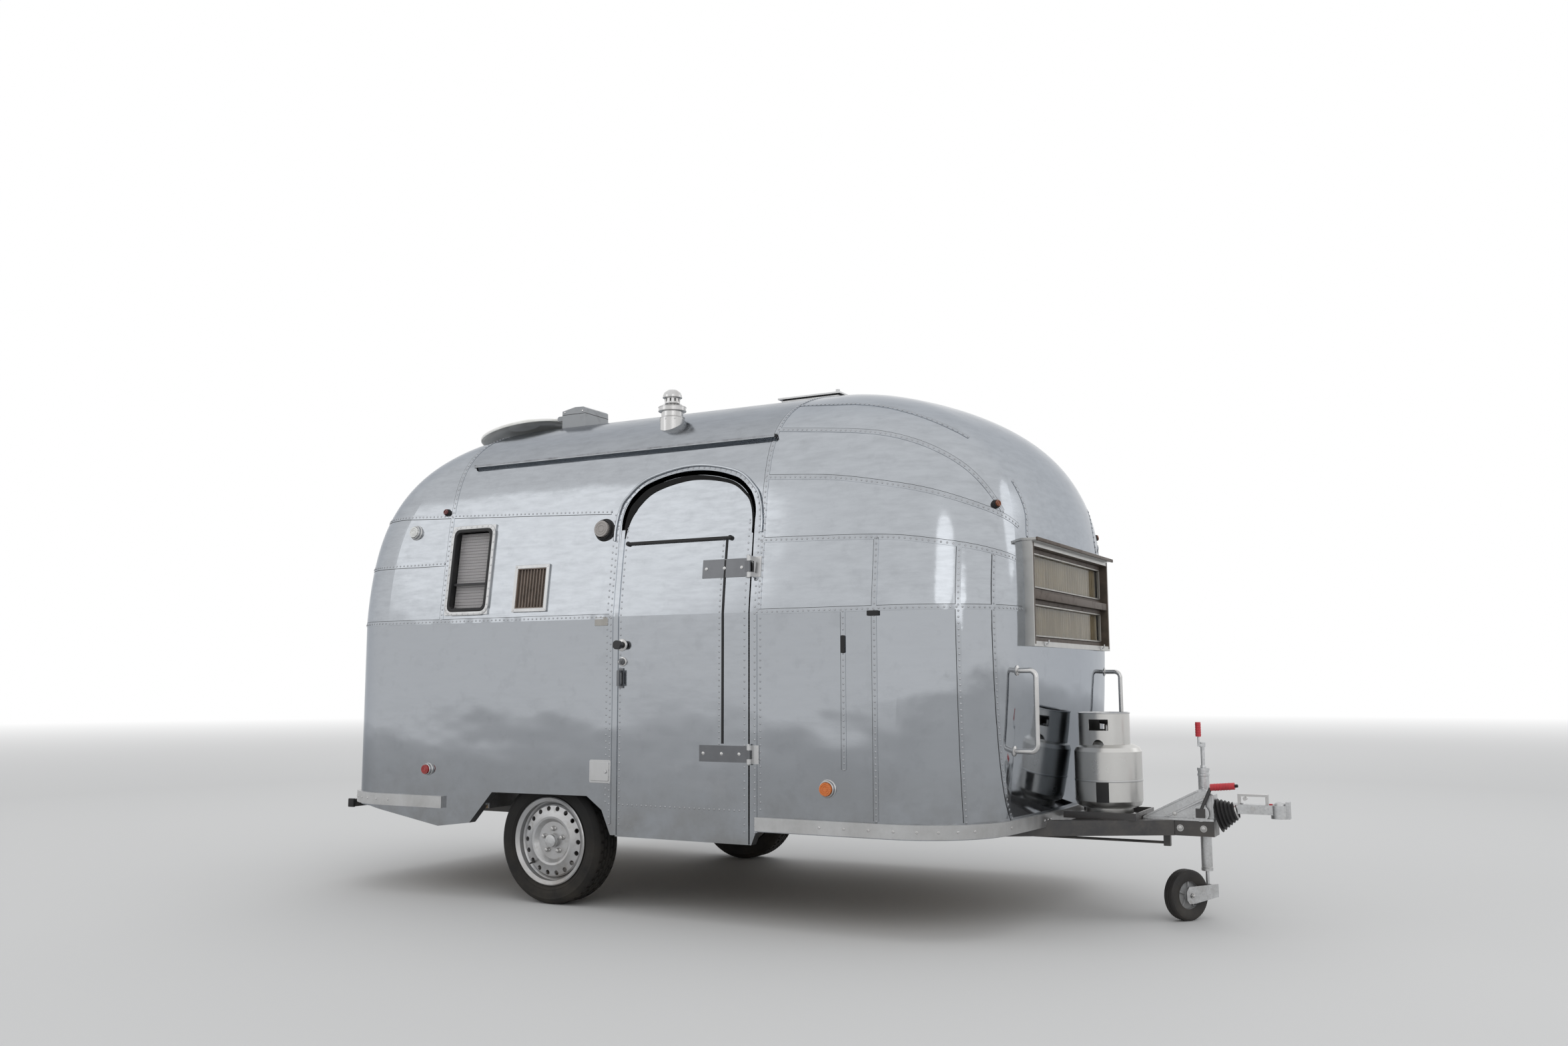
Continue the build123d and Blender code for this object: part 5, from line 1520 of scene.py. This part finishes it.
# Place, size and power of each soft lamp, and whether only mirror-like surfaces see it
SOFT_LAMPS = (
    ((8.0, -11.0, 9.5), 12.0, 520, False), ((-12.0, -8.0, 10.0), 11.0, 330, False),
    ((0.0, 0.5, 12.0), 13.0, 420, False), ((-5.0, 12.0, 8.0), 12.0, 330, False),
    ((13.0, 4.0, 6.0), 10.0, 230, False), ((9.0, -12.5, 5.5), 6.0, 62, True),
    ((-10.0, -12.0, 7.0), 7.0, 62, True), ((11.0, 9.0, 6.0), 6.0, 50, True),
    ((12.5, -9.0, 3.6), 3.4, 22, True),
)


def pale_floor():
    """Floor that fades to white far from the caravan."""
    start()
    bpy.ops.mesh.primitive_circle_add(vertices=96, radius=90, location=(0, 0, 0), fill_type="NGON")
    floor = apply_place(bpy.context.object)
    floor.name = "floor"
    paint = Coating("pale floor", tuple(colours().floor), 0.8, Specular_IOR_Level=0.2)
    distance = paint.result("VectorMath", {0: paint.place()}, "Value", operation="LENGTH")
    glow = paint.result("Emission", {"Color": (1, 1, 1)})
    mix = paint.result("MixShader", {0: paint.span(distance, 9.0, 34.0), 1: paint.shader.outputs[0], 2: glow})
    paint.feed(paint.tree.nodes["Material Output"].inputs["Surface"], mix)
    floor.data.materials.append(paint.material)


def white_surround(scene):
    """World that is white to the camera and in reflections, and a soft grey as a light."""
    scene.world = bpy.data.worlds.new("studio")
    scene.world.use_nodes = True
    world = Nodes(scene.world.node_tree)
    path = world.add("LightPath").outputs
    bent = world.larger(path["Is Glossy Ray"], path["Is Transmission Ray"])
    seen = world.larger(path["Is Camera Ray"], bent)
    back = world.tree.nodes["Background"]
    world.feed(back.inputs["Color"], world.blend(seen, (0.74, 0.75, 0.77), (1, 1, 1)))


def soft_lamps(scene):
    for place, size, power, mirrored in SOFT_LAMPS:
        light = bpy.data.lights.new("softbox", "AREA")
        light.shape = "DISK"
        light.size = size
        light.energy = power
        lamp = bpy.data.objects.new("softbox", light)
        lamp.location = place
        lamp.visible_glossy = mirrored
        lamp.visible_diffuse = not mirrored
        aim = Vector((0, 0, 1.0)) - Vector(place)
        lamp.rotation_euler = aim.to_track_quat("-Z", "Y").to_euler()
        scene.collection.objects.link(lamp)


def photo_camera(scene):
    """The camera that was fitted to the photograph."""
    place = (3.175, -6.053, 1.0535)
    yaw, pitch, roll = (math.radians(angle) for angle in (28.48, 6.87, -0.18))
    focal_pixels, photo_width = 1958.2, 2350
    ahead = Vector((-math.sin(yaw) * math.cos(pitch), math.cos(yaw) * math.cos(pitch), math.sin(pitch)))
    right = Vector((math.cos(yaw), math.sin(yaw), 0))
    up = right.cross(ahead)
    across = right * math.cos(roll) + up * math.sin(roll)
    top = up * math.cos(roll) - right * math.sin(roll)
    lens = bpy.data.cameras.new("photo camera")
    lens.sensor_width = 36
    lens.lens = focal_pixels / photo_width * lens.sensor_width
    camera = bpy.data.objects.new("photo camera", lens)
    camera.matrix_world = Matrix.Translation(place) @ Matrix((across, top, -ahead)).transposed().to_4x4()
    scene.collection.objects.link(camera)
    scene.camera = camera


class CARAVAN_OT_stage(bpy.types.Operator):
    """Pale floor, soft lamps, white surround and the photograph's camera"""

    bl_idname = "caravan.stage"
    bl_label = "Stage"

    def execute(self, context):
        pale_floor()
        white_surround(context.scene)
        soft_lamps(context.scene)
        photo_camera(context.scene)
        context.scene.view_settings.view_transform = "Standard"
        return {"FINISHED"}


OPERATORS = (CARAVAN_OT_seams, CARAVAN_OT_door, CARAVAN_OT_windows, CARAVAN_OT_vents, CARAVAN_OT_wheels,
             CARAVAN_OT_lamps, CARAVAN_OT_bottle, CARAVAN_OT_hitch, CARAVAN_OT_jockey, CARAVAN_OT_roof,
             CARAVAN_OT_trims, CARAVAN_OT_finishes, CARAVAN_OT_stage)


class CARAVAN_PT_panel(bpy.types.Panel):
    """Sizes, colours and operators of the caravan's dressing"""

    bl_label = "Caravan"
    bl_idname = "CARAVAN_PT_panel"
    bl_space_type = "VIEW_3D"
    bl_region_type = "UI"
    bl_category = "Caravan"

    def draw(self, context):
        for group in (context.scene.caravan_sizes, context.scene.caravan_colours):
            box = self.layout.box()
            for key in group.bl_rna.properties.keys():
                if key not in ("rna_type", "name"):
                    box.prop(group, key)
        for operator in OPERATORS:
            self.layout.operator(operator.bl_idname)


CLASSES = (CaravanSizes, CaravanColours) + OPERATORS + (CARAVAN_PT_panel,)


def register():
    for item in CLASSES:
        bpy.utils.register_class(item)
    bpy.types.Scene.caravan_sizes = PointerProperty(type=CaravanSizes)
    bpy.types.Scene.caravan_colours = PointerProperty(type=CaravanColours)


def unregister():
    del bpy.types.Scene.caravan_sizes
    del bpy.types.Scene.caravan_colours
    for item in reversed(CLASSES):
        bpy.utils.unregister_class(item)


def main():
    register()
    make_finishes()
    for operator in OPERATORS:
        getattr(bpy.ops.caravan, operator.bl_idname.split(".")[1])()


if __name__ == "__main__":
    main()
